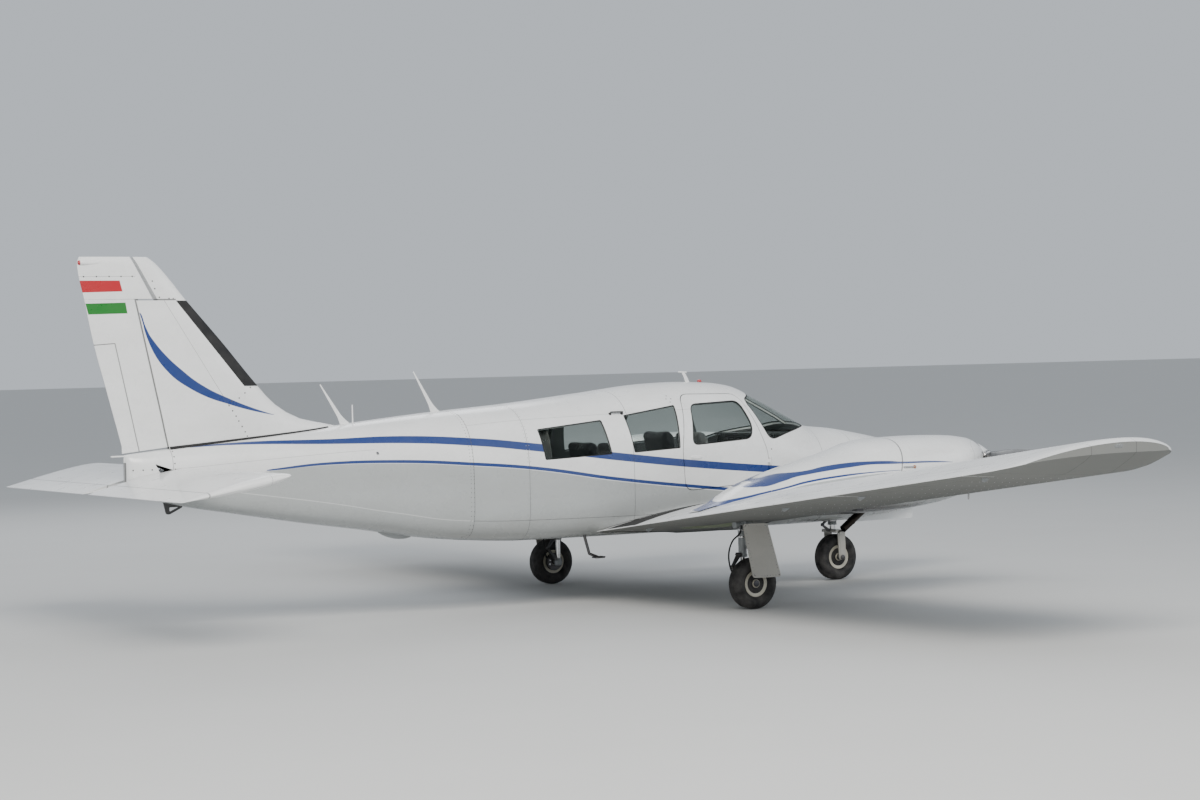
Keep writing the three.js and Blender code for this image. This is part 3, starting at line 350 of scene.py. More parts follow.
# Outlines
def rounded(points, radius, step=18, arc=7):
    """An outline with rounded corners, in steps short enough to lie on a curved skin."""
    points = np.asarray(points, float)
    corners = []
    for i, corner in enumerate(points):
        ends = []
        for other in (points[i - 1], points[(i + 1) % len(points)]):
            span = other - corner
            ends.append(corner + span * min(radius / np.linalg.norm(span), 0.45))
        t = np.linspace(0, 1, arc)[:, None]
        corners.append((1 - t) ** 2 * ends[0] + 2 * t * (1 - t) * corner + t * t * ends[1])
    return subdivided(np.vstack(corners), step)


def rectangle(x0, x1, y0, y1):
    return np.array([[x0, y0], [x1, y0], [x1, y1], [x0, y1]], float)


def subdivided(loop, step, closed=True):
    """The same line with no part longer than step."""
    loop = np.asarray(loop, float)
    parts = []
    for a, b in zip(loop, np.roll(loop, -1, 0) if closed else loop[1:]):
        count = max(1, math.ceil(np.linalg.norm(b - a) / step))
        parts.append(a + (b - a) * (np.arange(count) / count)[:, None])
    return np.vstack(parts if closed else [*parts, loop[-1:]])


def grown(loop, distance):
    """An outline moved outwards by a distance, or inwards where it is negative."""
    after = np.roll(loop, -1, 0)
    along = unit(after - np.roll(loop, 1, 0))
    area = np.sum(loop[:, 0] * after[:, 1] - after[:, 0] * loop[:, 1])
    return loop + np.stack([along[:, 1], -along[:, 0]], -1) * np.sign(area) * distance


def inside(points, loop):
    """Which points lie inside an outline."""
    x, y = points[:, :1], points[:, 1:]
    a, b = loop, np.roll(loop, -1, 0)
    crosses = (a[:, 1] > y) != (b[:, 1] > y)
    rise = np.where(b[:, 1] == a[:, 1], 1, b[:, 1] - a[:, 1])
    at = a[:, 0] + (y - a[:, 1]) * (b[:, 0] - a[:, 0]) / rise
    return np.sum(crosses & (x < at), axis=1) % 2 == 1


def distance_to(points, loop):
    """Distance of each point from an outline."""
    span = np.roll(loop, -1, 0) - loop
    along = np.einsum("psk,sk->ps", points[:, None] - loop, span) / np.maximum(np.sum(span**2, 1), 1e-9)
    nearest = loop + np.clip(along, 0, 1)[..., None] * span
    return np.linalg.norm(points[:, None] - nearest, axis=2).min(1)


def sheet_triangles(us, vs, holes=(), keep=None):
    """Flat points and triangles over a grid, with exact holes, or only inside the outline to keep."""
    grid = np.stack(np.meshgrid(us, vs, indexing="ij"), -1).reshape(-1, 2)
    near = 0.35 * min(np.diff(us).min(), np.diff(vs).min())
    border = np.isin(grid[:, 0], (us[0], us[-1])) | np.isin(grid[:, 1], (vs[0], vs[-1]))
    wanted = np.ones(len(grid), bool)
    if keep is not None:
        border[:] = False
        wanted = inside(grid, keep)
    for hole in holes:
        wanted &= ~inside(grid, hole)
    outlines = [*holes, *([] if keep is None else [keep])]
    for outline in outlines:
        wanted &= border | (distance_to(grid, outline) > near)
    points, edges = list(map(tuple, grid[wanted])), []
    for outline in outlines:
        start, count = len(points), len(outline)
        points += list(map(tuple, outline))
        edges += [(start + i, start + (i + 1) % count) for i in range(count)]
    found = delaunay_2d_cdt([Vector(p) for p in points], edges, [], 0, 1e-4)
    flat = np.array([tuple(p) for p in found[0]])
    faces = np.array([list(f) for f in found[2]])
    middle = flat[faces].mean(1)
    wanted = np.ones(len(faces), bool) if keep is None else inside(middle, keep)
    for hole in holes:
        wanted &= ~inside(middle, hole)
    return flat, faces[wanted]


def grid_over(loop, step):
    """Grid lines that cover an outline on the flat skin."""
    low, high = loop.min(0), loop.max(0)
    return [np.linspace(a, b, max(3, round((b - a) / size))) for a, b, size in zip(low, high, (step, 26))]


# Solids, each as points in millimetres, faces and a material number for each face
class Solid:
    """Points and faces that are added up into one piece."""

    def __init__(self):
        self.points, self.faces, self.kinds, self.count = [], [], [], 0

    def add(self, points, faces, kind=0):
        points = np.asarray(points, float).reshape(-1, 3)
        self.points.append(points)
        self.faces += [tuple(int(i) + self.count for i in face) for face in faces]
        self.kinds += [kind] * len(faces)
        self.count += len(points)
        return self

    def merge(self, *others, kind=None):
        for other in others:
            self.points += other.points
            self.faces += [tuple(i + self.count for i in face) for face in other.faces]
            self.kinds += other.kinds if kind is None else [kind] * len(other.faces)
            self.count += other.count
        return self

    def moved(self, change):
        """A copy with its points put through a function."""
        copy = Solid().merge(self)
        copy.points = [change(np.vstack(self.points))]
        return copy

    def mirrored(self):
        return self.moved(lambda p: p * [1, -1, 1])


def loft(rings, closed=False, caps=True, kind=0):
    """A body through rings of equal length; closed joins the last ring to the first."""
    rings = np.asarray(rings, float)
    count, n = rings.shape[:2]
    faces = []
    for r in range(count if closed else count - 1):
        a, b = r * n, ((r + 1) % count) * n
        for i in range(n):
            j = (i + 1) % n
            faces.append((a + i, a + j, b + j, b + i))
    if caps and not closed:
        faces += [tuple(range(n))[::-1], tuple(range((count - 1) * n, count * n))]
    return Solid().add(rings, faces, kind)


def beside(axis):
    """A direction that isn't along an axis."""
    return np.array([0, 0, 1.0]) if abs(axis[2]) < 0.9 else np.array([1.0, 0, 0])


def tube(path, radius, sides=12, kind=0):
    """A round bar along a path, with one radius or one for each point."""
    path = np.asarray(path, float)
    along = unit(np.gradient(path, axis=0))
    side = unit(np.cross(along[0], beside(along[0])))
    angle = turns(sides)[:, None]
    rings = []
    for point, way, r in zip(path, along, np.broadcast_to(np.asarray(radius, float), len(path))):
        side = unit(side - way * side.dot(way))
        rings.append(point + r * (np.cos(angle) * side + np.sin(angle) * np.cross(way, side)))
    return loft(rings, kind=kind)


def turned(profile, centre, axis=(0, 1, 0), sides=48, closed=False, kind=0):
    """A body turned about an axis, from points of radius and place along it."""
    axis = unit(axis)
    side = unit(np.cross(axis, beside(axis)))
    angle = turns(sides)[:, None]
    around = np.cos(angle) * side + np.sin(angle) * np.cross(axis, side)
    rings = [np.asarray(centre, float) + radius * around + place * axis for radius, place in profile]
    return loft(rings, closed=closed, caps=not closed, kind=kind)


def rod(start, end, radius, end_radius=None, sides=20, kind=0):
    """A straight round bar."""
    return tube([start, end], [radius, radius if end_radius is None else end_radius], sides, kind)


def rod_across(place, half, radius, sides=20, kind=0):
    """A round bar across the aircraft, through a place."""
    return rod(np.subtract(place, [0, half, 0]), np.add(place, [0, half, 0]), radius, sides=sides, kind=kind)


def block(x, y, z, kind=0):
    """A box between two x, two y and two z."""
    return loft([[[x[i], y[j], h] for i, j in ((0, 0), (1, 0), (1, 1), (0, 1))] for h in z], kind=kind)


def slab(outline, y0, y1, kind=0):
    """A plate whose outline is given in x and z."""
    return loft([columns(outline[:, 0], y, outline[:, 1]) for y in (y0, y1)], kind=kind)


def plate(outline, low, high, kind=0):
    """A plate whose outline is given in x and y."""
    return loft([level(outline, z) for z in (low, high)], kind=kind)


def shell(flat, faces, outer, inner, kinds=(0, 0, 0)):
    """A wall between two grown skins over the same flat triangles, closed at its edges."""
    points = skin_points(flat, outer)
    _, first, same = np.unique(np.round(points, 3), axis=0, return_index=True, return_inverse=True)
    faces = same.ravel()[faces]
    count = len(first)
    edges = np.vstack([faces[:, [0, 1]], faces[:, [1, 2]], faces[:, [2, 0]]])
    forward = {tuple(e) for e in edges.tolist()}
    rim = [(b, a, a + count, b + count) for a, b in forward if (b, a) not in forward]
    whole = Solid().add(np.vstack([points[first], skin_points(flat, inner)[first]]), [])
    for found, kind in zip((faces.tolist(), (faces[:, ::-1] + count).tolist(), rim), kinds):
        whole.faces += [tuple(face) for face in found]
        whole.kinds += [kind] * len(found)
    return whole


# Pieces
def closed_mesh(name, solid, materials):
    """A mesh with its double points joined and its faces turned outwards."""
    mesh = bpy.data.meshes.new(name)
    mesh.from_pydata((np.vstack(solid.points) * MM).tolist(), [], solid.faces)
    mesh.polygons.foreach_set("material_index", solid.kinds)
    mesh.validate()
    editor = bmesh.new()
    editor.from_mesh(mesh)
    bmesh.ops.remove_doubles(editor, verts=editor.verts, dist=1e-6)
    bmesh.ops.recalc_face_normals(editor, faces=editor.faces)
    editor.to_mesh(mesh)
    editor.free()
    for material in materials:
        mesh.materials.append(material)
    return mesh


def linked(name, data):
    """A new object in the scene."""
    item = bpy.data.objects.new(name, data)
    bpy.context.scene.collection.objects.link(item)
    return item


def smoothed(mesh, sharp=32):
    """Smooth shading apart from the sharp edges."""
    mesh.shade_smooth()
    mesh.set_sharp_from_angle(angle=math.radians(sharp))


def evaluated(piece):
    """A new mesh of a piece with its modifiers applied."""
    bpy.context.view_layer.update()
    return bpy.data.meshes.new_from_object(piece.evaluated_get(bpy.context.evaluated_depsgraph_get()))


def build(name, solid, materials, slot="white_paint", node=None, body="airframe", bevel=0.0, sharp=32):
    """Makes a piece, puts it on its body and lets it stand for a node of the frame."""
    piece = linked(name, closed_mesh(name, solid, [FINISHES[material] for material in materials]))
    smoothed(piece.data, sharp)
    if bevel:
        edge = piece.modifiers.new("Edges", "BEVEL")
        edge.width, edge.segments, edge.limit_method = bevel * MM, 2, "ANGLE"
        edge.angle_limit = math.radians(40)
        edge.harden_normals = False
    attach(piece, body)
    if node:
        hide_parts(node)
    return piece


def build_pair(name, solid, materials, slot="white_paint", node=None, body=None, tools=(), **more):
    """Makes a left piece and its mirror image; node and body are given without their side."""
    for side in ("left", "right"):
        flip = Solid.mirrored if side == "right" else (lambda s: s)
        piece = build(f"{name}_{side}", flip(solid), materials, slot, node and f"{node}_{side}",
                      f"{body}_{side}" if body else "airframe", **more)
        if tools:
            carve(piece, [flip(tool) for tool in tools])


def carve(piece, tools):
    """Cuts closed solids out of a piece."""
    for tool in tools:
        helper = linked("tool", closed_mesh("tool", tool, piece.data.materials))
        cutter = piece.modifiers.new("Cut", "BOOLEAN")
        cutter.operation, cutter.solver, cutter.object = "DIFFERENCE", "EXACT", helper
        result = evaluated(piece)
        piece.modifiers.remove(cutter)
        old, piece.data = piece.data, result
        mesh = helper.data
        bpy.data.objects.remove(helper)
        for done in (old, mesh):
            bpy.data.meshes.remove(done)
    smoothed(piece.data)


# Shader maths
def operation(kind, swapped=False):
    """A method of Value that adds one Math node."""
    def method(self, other=0):
        return self.finish.node("Math", {"operation": kind}, *((other, self) if swapped else (self, other)))
    return method


class Value:
    """What a shader node gives, for use in Python expressions."""

    def __init__(self, finish, socket):
        self.finish, self.socket = finish, socket

    def output(self, name):
        """Another output of the same node."""
        return Value(self.finish, self.socket.node.outputs[name])

    __add__ = __radd__ = operation("ADD")
    __sub__ = operation("SUBTRACT")
    __rsub__ = operation("SUBTRACT", swapped=True)
    __mul__ = __rmul__ = operation("MULTIPLY")
    __pow__ = operation("POWER")
    __abs__ = operation("ABSOLUTE")
    sine = operation("SINE")
    least = operation("MINIMUM")
    most = operation("MAXIMUM")


class Finish:
    """One material and the nodes that make it."""

    def __init__(self, name):
        self.material = bpy.data.materials.new(name)
        self.material.use_nodes = True
        self.tree = self.material.node_tree
        self.surface = self.tree.nodes["Principled BSDF"]
        self.coordinates = Value(self, self.tree.nodes.new("ShaderNodeTexCoord").outputs["Object"])
        FINISHES[name] = self.material

    def node(self, kind, settings=None, *values, **named):
        """Adds a node: its settings first, then the values or links of its sockets."""
        node = self.tree.nodes.new("ShaderNode" + kind)
        for key, value in (settings or {}).items():
            if key == "points":
                line = node.mapping.curves[0].points
                for place in value[1:-1]:
                    line.new(*place)
                for point, place in zip(line, value):
                    point.location = place
                node.mapping.update()
            else:
                setattr(node, key, value)
        for socket, value in zip([s for s in node.inputs if s.enabled], values):
            self.feed(socket, value)
        for key, value in named.items():
            self.feed(node.inputs[key.replace("_", " ")], value)
        return Value(self, next(s for s in node.outputs if s.enabled))

    def feed(self, socket, value):
        if isinstance(value, Value):
            self.tree.links.new(value.socket, socket)
        else:
            socket.default_value = (*value, 1) if socket.type == "RGBA" else value

    def set(self, **inputs):
        for key, value in inputs.items():
            self.feed(self.surface.inputs[key.replace("_", " ")], value)

    def places(self):
        """x, y and z in millimetres."""
        split = self.node("SeparateXYZ", None, self.coordinates)
        return [split.output(axis) * 1000 for axis in "XYZ"]

    def mix(self, share, first, second):
        return self.node("Mix", {"data_type": "RGBA"}, share, first, second)

    def step(self, value, soft):
        """0 below zero, 1 above it, with a short ramp."""
        return self.node("MapRange", None, value, -soft, soft, 0.0, 1.0)

    def band(self, distance, half, soft=0.8):
        """1 within half of a line, 0 outside."""
        return self.step(half - abs(distance), soft)

    def within(self, x, first, last, soft=1.0):
        """1 between two places, 0 outside."""
        return self.step(x - first, soft).least(self.step(last - x, soft))

    def noise(self, scale, detail=3.0, rough=0.55, stretch=None):
        where = self.coordinates
        if stretch:
            where = self.node("VectorMath", {"operation": "MULTIPLY"}, where, stretch)
        return self.node("TexNoise", None, Vector=where, Scale=scale, Detail=detail, Roughness=rough)

    def spread(self, value, low, high):
        """The middle of a noise put between two values."""
        return self.node("MapRange", None, value, 0.3, 0.7, low, high)

    def underside(self):
        """1 where the surface faces down."""
        normal = self.node("SeparateXYZ", None, self.coordinates.output("Normal"))
        return self.step(-0.12 - normal.output("Z"), 0.03)

    def bump(self, height, strength=0.3, distance=0.001):
        self.set(Normal=self.node("Bump", None, Strength=strength, Distance=distance, Height=height))

    def line(self, points, low, high, x):
        """A height that follows points x, z, worked out at x."""
        first, last = points[0][0], points[-1][0]
        scaled = [((a - first) / (last - first), (b - low) / (high - low)) for a, b in points]
        share = self.node("MapRange", None, x, first, last, 0.0, 1.0)
        return self.node("FloatCurve", {"points": scaled}, 1.0, share) * (high - low) + low

    def stripe(self, x, z, middle, low, high, half, widest, soft=1.5, wider=1.0):
        """1 inside a stripe whose middle and half width follow x."""
        wide = self.line(half, 0, widest, x) * wider
        return self.band(z - self.line(middle, low, high, x), wide, soft) * self.within(x, half[0][0], half[-1][0])


FINISHES = {}


def gathered(values):
    """The most of several values."""
    return reduce(Value.most, values)


def paint(finish, colour, groove=None, roughness=(0.24, 0.34), dirt=0.5):
    """Gloss paint over riveted sheet metal: faint waves, grime in the seams and uneven shine."""
    fine = finish.noise(34.0, 4.0)
    for spots, share in ((finish.noise(2.2, 5.0, 0.6, (1.0, 1.0, 2.4)), 0.16), (fine, 0.05)):
        colour = finish.mix(finish.spread(spots, 0.0, share * dirt), colour, COLOURS["grime"])
    height = finish.noise(1.6, 2.0)
    if groove is not None:
        colour = finish.mix(groove * 0.8, colour, COLOURS["seam_and_step_shade"])
        height = height - groove * 0.45
    rough = finish.spread(finish.noise(7.0, 4.0), *roughness)
    finish.set(Base_Color=colour, Roughness=rough, Coat_Weight=0.35, Coat_Roughness=0.12)
    finish.bump(height + fine * 0.02, 0.25, 0.002)


# Stripes as points x, z and their half widths as points x, width
THICK_STRIPE = [(-3484, 1502), (-3076, 1520), (-2344, 1510), (-1756, 1505), (-1115, 1462), (-625, 1405),
                (235, 1286), (1060, 1186), (1820, 1112), (2700, 1040), (3500, 985), (4200, 945)]
THICK_HALF = [(-3484, 1), (-3076, 10), (-2344, 20), (-1500, 31), (1500, 33), (2600, 30), (3600, 20), (4200, 4)]
THIN_STRIPE = [(-2900, 1296), (-2835, 1301), (-2379, 1332), (-1789, 1325), (-1141, 1278), (-642, 1228), (226, 1092),
               (1053, 987), (1820, 905), (2700, 836), (3500, 800), (4200, 780)]
THIN_HALF = [(-2900, 3), (-2700, 9), (-2379, 11), (-1789, 13), (1500, 14), (2700, 12), (4200, 3)]
SILVER_EDGE = [(-4100, 1150), (-3500, 1215), (-2835, 1292), (-2379, 1318), (-1789, 1308), (-1141, 1260),
               (-642, 1209), (226, 1072), (1053, 967), (1820, 886), (2700, 818), (3500, 785), (4300, 770)]
# The low lap seam; along the tailcone it also carries a painted highlight
LOW_SEAM = [(-3640, 1205), (-3051, 1114), (-2392, 1008), (-1797, 895), (-1150, 800), (-666, 781), (4300, 800)]
UPPER_NACELLE = [(620, 1040), (700, 1059), (800, 1082), (900, 1107), (1000, 1125), (1150, 1143), (1330, 1170),
                 (1520, 1189), (1710, 1200), (1900, 1197), (2010, 1192), (2325, 1187), (2553, 1175)]
UPPER_HALF = [(620, 2), (700, 16), (800, 27), (900, 27), (1000, 20), (1150, 15), (1330, 19), (1520, 19), (1710, 14),
              (1900, 13), (2010, 9), (2325, 7), (2553, 1)]
LOWER_NACELLE = [(190, 868), (270, 890), (388, 921), (450, 940), (525, 958), (591, 973), (640, 984), (717, 999),
                 (800, 1013), (896, 1030), (1095, 1068), (1398, 1102), (1677, 1121), (1990, 1129)]
LOWER_HALF = [(190, 3), (270, 9), (388, 9), (525, 8), (896, 7), (1095, 8), (1398, 8), (1677, 5), (1990, 2)]
SILVER_NACELLE = [(190, 846), (388, 905), (591, 960), (717, 986), (896, 1014), (1095, 1048), (1398, 1082),
                  (1677, 1104), (1964, 1114), (3130, 1125)]
SWOOSH = [(-3870, 2590), (-3853, 2553), (-3824, 2452), (-3764, 2323), (-3652, 2178), (-3528, 2069), (-3335, 1946),
          (-3141, 1865), (-2974, 1806), (-2760, 1746)]
SWOOSH_HALF = [(-3870, 2), (-3798, 20), (-3653, 32), (-3429, 24), (-3200, 15), (-2976, 8), (-2740, 1)]


def two_tone(finish, silver, stripes):
    """White over silver, with blue stripes."""
    colour = finish.mix(finish.step(silver, 2.0), COLOURS["white"], COLOURS["silver"])
    return finish.mix(stripes, colour, COLOURS["blue"])


def fuselage_finish():
    finish = Finish("fuselage_paint")
    x, _, z = finish.places()
    thick = finish.stripe(x, z, THICK_STRIPE, 900, 1600, THICK_HALF, 40)
    thin = finish.stripe(x, z, THIN_STRIPE, 700, 1400, THIN_HALF, 40)
    colour = two_tone(finish, finish.line(SILVER_EDGE, 700, 1400, x) - z, thick.most(thin))
    low = z - finish.line(LOW_SEAM, 700, 1300, x)
    lap = z - finish.line([(-3640, 1333), (-2373, 1413), (-1990, 1430)], 1300, 1500, x)
    roof = z - finish.line([(-1150, 1600), (-400, 1640), (4300, 1700)], 1500, 1800, x)
    cabin = finish.step(x + 1150, 1.0)
    # Painted highlight: white along the low lap seam of the tailcone
    colour = finish.mix(finish.band(low, 3.0, 1.0) * finish.within(x, -3640, -1150) * 0.5, colour, COLOURS["white"])
    grooves = [finish.band(x - place, 1.9) for place in (-3650, -1149, -644, 380, 2460, 2880, 3560)]
    grooves += [finish.band(x + 4017, 5.0, 1.0) * finish.step(1400 - z, 1.0), finish.band(low, 1.9) * cabin,
                finish.band(lap, 1.6) * finish.within(x, -3640, -1990) * 0.6, finish.band(roof, 1.4) * cabin * 0.6]
    belly = finish.step(760 - z, 90.0) * finish.spread(finish.noise(5.0, 5.0, 0.6, (0.3, 1, 1)), 0.1, 0.6)
    colour = finish.mix(belly * 0.5, colour, COLOURS["grime"])
    paint(finish, colour, gathered(grooves), dirt=0.8)


def nacelle_finish():
    finish = Finish("nacelle_paint")
    x, _, z = finish.places()
    upper = finish.stripe(x, z, UPPER_NACELLE, 800, 1300, UPPER_HALF, 30)
    lower = finish.stripe(x, z, LOWER_NACELLE, 800, 1300, LOWER_HALF, 20)
    colour = two_tone(finish, finish.line(SILVER_NACELLE, 800, 1200, x) - z, upper.most(lower))
    bowl = x - (z - 1290).most(0).least(70) ** 2 * 0.035
    grooves = [finish.band(x - seam_x(z), 5.5, 1.0), finish.band(bowl - 2830, 2.4) * 0.7]
    # Darker towards the bottom of the nacelle and cowling
    lower_darkening = finish.step(finish.noise(6.0, 4.0, 0.6, (0.4, 1, 1)) * 300 + 560 - z, 80.0)
    colour = finish.mix(lower_darkening * 0.35, colour, COLOURS["grime"])
    smoke = finish.step(finish.noise(8.0, 4.0, 0.6, (0.3, 1, 1)) * 60 + 800 - z, 14.0)
    colour = finish.mix(smoke * finish.within(x, 1150, 2320, 60.0), colour, COLOURS["soot"])
    paint(finish, colour, gathered(grooves), dirt=0.9)


def above_line(x, z, first, second):
    """How far a point lies to the left of a line from the first to the second place."""
    dx, dz = second[0] - first[0], second[1] - first[1]
    length = math.hypot(dx, dz)
    return (x - first[0]) * (-dz / length) + (z - first[1]) * (dx / length)


def tail_finish():
    """White with the blue swoosh, a red and a green bar, and the seams of the fin and rudder."""
    finish = Finish("tail_paint")
    x, _, z = finish.places()
    swoosh = finish.stripe(x, z, SWOOSH, 1600, 2600, SWOOSH_HALF, 40, 2.0, 1.85)
    colour = finish.mix(swoosh, COLOURS["white"], COLOURS["blue"])
    for name, corners in (("red", ((-4345, 2849), (-4025, 2848), (-4003, 2761), (-4323, 2755))),
                          ("green", ((-4301, 2668), (-3981, 2673), (-3967, 2586), (-4279, 2581)))):
        sides = [finish.step(above_line(x, z, corners[i - 3], corners[i]), 1.5) for i in range(4)]
        colour = finish.mix(reduce(Value.least, sides), colour, COLOURS[name])
    grooves = []
    for first, second, half, soft, ends in (
            ((-3892, 1478), (-4073, 2349), 4.0, 1.0, finish.within(z, 1478, 2349)),
            ((-4073, 2349), (-4350, 2332), 4.0, 1.0, finish.step(-4071 - x, 1.0)),
            ((-3138, 1829), (-3665, 2690), 1.4, 0.6, finish.within(z, 1829, 2690)),
            (RUDDER_LOW, RUDDER_HIGH, 6.0, 1.0, finish.within(z, 1400, 2700))):
        grooves.append(finish.band(above_line(x, z, first, second), half, soft) * ends)
    grooves.append(finish.band(z - 2880, 1.2, 0.6) * finish.step(-3900 - x, 1.0))
    grooves.append(finish.band(z - 2694, 6.0, 1.0) * finish.within(x, -3905, -3560))
    paint(finish, colour, gathered(grooves), dirt=0.6)


def wing_finish(name, spans, chords):
    """White above and grey below, with a ribbed black walkway beside the cabin on the right."""
    finish = Finish(name)
    x, y, _ = finish.places()
    span = abs(y)
    groove = gathered([finish.band(span - place, 1.9) for place in spans]
                      + [finish.band(x - place, 1.9) for place in chords])
    # Painted shade: faces turned down, and the tip beyond y 5920, take the darker grey
    facing = finish.underside()
    under_shade = facing.most(finish.step(span - 5920, 1.0))
    colour = finish.mix(under_shade, COLOURS["white"], COLOURS["under_shade"])
    tread = finish.noise(210.0, 2.0)
    ribs = (y * (2 * math.pi / 19)).sine()
    walk = finish.within(-1 * y, 640, 1130, 2.0) * finish.within(x, 58, 1330, 2.0) * (1 - facing)
    colour = finish.mix(walk, colour, COLOURS["black"])
    paint(finish, colour, groove * (1 - walk), dirt=0.7)
    dull = walk.most(under_shade)
    rough = finish.node("Mix", {"data_type": "FLOAT"}, dull, finish.spread(finish.noise(7.0), 0.26, 0.36), 0.85)
    height = finish.noise(1.6, 2.0) - groove * 0.45 + walk * (ribs * 0.35 + tread * 0.5)
    finish.set(Roughness=rough, Coat_Weight=(1 - dull) * 0.35, Specular_IOR_Level=0.35)
    finish.bump(height, 0.3, 0.002)


def plain_paint(name, colour, roughness=(0.26, 0.38), dirt=0.6, across=(), along=()):
    """One colour of paint, with seams across the span and along it."""
    finish = Finish(name)
    x, y, _ = finish.places()
    grooves = [finish.band(abs(y) - place, 1.2, 0.7) for place in across]
    grooves += [finish.band(x - place, 1.2, 0.7) for place in along]
    paint(finish, COLOURS[colour], gathered(grooves) if grooves else None, roughness, dirt)


def metal(name, colour, roughness=(0.2, 0.4), scale=60.0, tint="grime"):
    """Bare or plated metal with fine machining marks."""
    finish = Finish(name)
    marks = finish.noise(scale, 6.0, 0.6)
    shade = finish.mix(finish.spread(finish.noise(9.0, 4.0), 0.0, 0.5), COLOURS[colour], COLOURS[tint])
    finish.set(Base_Color=shade, Metallic=1.0, Roughness=finish.spread(marks, *roughness))
    finish.bump(marks, 0.18, 0.0006)


def rubber(name, colour, roughness=(0.6, 0.85), scale=90.0, dust=0.25):
    """Rubber, soot or carpet: a dull grain with dust on it."""
    finish = Finish(name)
    grain = finish.noise(scale, 4.0)
    shade = finish.mix(finish.spread(finish.noise(11.0, 5.0), 0.0, dust), COLOURS[colour], COLOURS["dust"])
    finish.set(Base_Color=shade, Roughness=finish.spread(grain, *roughness), Specular_IOR_Level=0.3)
    finish.bump(grain, 0.3, 0.0008)


def cloth(name, colour, second, thread=1.6):
    """Woven seat cloth: two sets of threads and a soft pile."""
    finish = Finish(name)
    x, y, z = finish.places()
    turn = 2 * math.pi / thread
    weave = ((x + z) * turn).sine() * ((y - z * 0.3) * turn).sine() * 0.5 + 0.5
    patch = finish.noise(14.0, 4.0)
    shade = finish.mix(weave * 0.6, COLOURS[colour], COLOURS[second])
    shade = finish.mix(finish.spread(patch, 0.0, 0.3), shade, COLOURS["dust"])
    finish.set(Base_Color=shade, Roughness=finish.spread(patch, 0.82, 0.96), Sheen_Weight=0.35)
    finish.bump(weave + patch * 0.6, 0.5, 0.0008)


def clear(name, tint, share, colour):
    """Acrylic: what is behind it, tinted, under a gloss that grows at its edges."""
    finish = Finish(name)
    finish.set(Base_Color=COLOURS[colour], Roughness=finish.spread(finish.noise(3.0, 4.0), 0.03, 0.09),
               Specular_IOR_Level=0.7)
    facing = finish.node("LayerWeight", None, Blend=0.35).output("Facing")
    film = finish.node("BsdfTransparent", None, Color=tint)
    gloss = Value(finish, finish.surface.outputs[0])
    out = finish.node("MixShader", None, (facing * 0.22 + share).least(1.0), film, gloss)
    finish.feed(finish.tree.nodes["Material Output"].inputs["Surface"], out)


def lens(name, colour):
    """A coloured light lens with moulded ribs."""
    finish = Finish(name)
    ribs = (finish.places()[2] * (2 * math.pi / 6)).sine()
    shade = finish.mix(finish.spread(finish.noise(20.0), 0.0, 0.3), COLOURS[colour], COLOURS["black"])
    finish.set(Base_Color=shade, Roughness=finish.spread(finish.noise(30.0), 0.06, 0.16), Coat_Weight=0.8)
    finish.bump(ribs, 0.25, 0.0008)


def prepare_finishes():
    """Makes every paint, metal, rubber, glass and cloth."""
    fuselage_finish()
    nacelle_finish()
    tail_finish()
    wing_finish("wing_paint", (1250, 1620, 2080, 2640, 3250, 3886, 4500, 5060, 5620), (1180, 760))
    # On the flaps and ailerons the line at x 188 is painted shade along the edge of a step that is not modelled
    wing_finish("flap_paint", (1380, 1850, 2450, 3150, 4260, 4700, 5100), (300, 188))
    plain_paint("stabilator_paint", "white", across=(420, 900, 1400, 1980),
                along=(-3640, -4126, -4129, -4132, -4135))
    for row in (("white_paint", "white"), ("rivet_paint", "rivet"), ("spinner_paint", "white", (0.2, 0.3), 0.3),
                ("leg_paint", "leg", (0.35, 0.5), 1.4), ("plate_paint", "plate", (0.35, 0.5), 1.4),
                ("rim_paint", "cream", (0.3, 0.45), 1.6), ("black_paint", "black", (0.35, 0.5), 0.4),
                ("blade_paint", "blade", (0.3, 0.48), 0.6), ("blade_tip_paint", "white", (0.3, 0.4), 0.4),
                ("trim_plastic", "trim", (0.5, 0.7), 0.8), ("panel_paint", "panel", (0.55, 0.75), 0.5),
                ("bay_paint", "primer", (0.45, 0.6), 1.2)):
        plain_paint(*row)
    for row in (("steel", "steel", (0.2, 0.36)), ("chrome", "chrome", (0.05, 0.14), 140.0),
                ("engine_metal", "steel", (0.35, 0.6), 60.0, "soot"), ("copper", "copper", (0.25, 0.45)),
                ("exhaust_steel", "rust", (0.35, 0.62), 60.0, "soot"), ("dark_metal", "iron", (0.35, 0.55))):
        metal(*row)
    # The dull black for the insides of closed hollows is painted shade
    for row in (("tyre_rubber", "rubber", (0.6, 0.85), 90.0, 0.45), ("seal_rubber", "black", (0.6, 0.85), 90.0, 0.1),
                ("boot_rubber", "boot", (0.5, 0.68), 130.0, 0.1), ("soot_black", "soot", (0.85, 0.95), 40.0, 0.05),
                ("carpet", "carpet", (0.9, 1.0), 300.0, 0.3)):
        rubber(*row)
    cloth("seat_cloth", "charcoal", "black")
    clear("glass", (0.93, 0.955, 0.94), 0.03, "glass")
    clear("clear_lens", (0.9, 0.93, 0.95), 0.2, "steel")
    lens("red_lens", "red")
    lens("green_lens", "green")


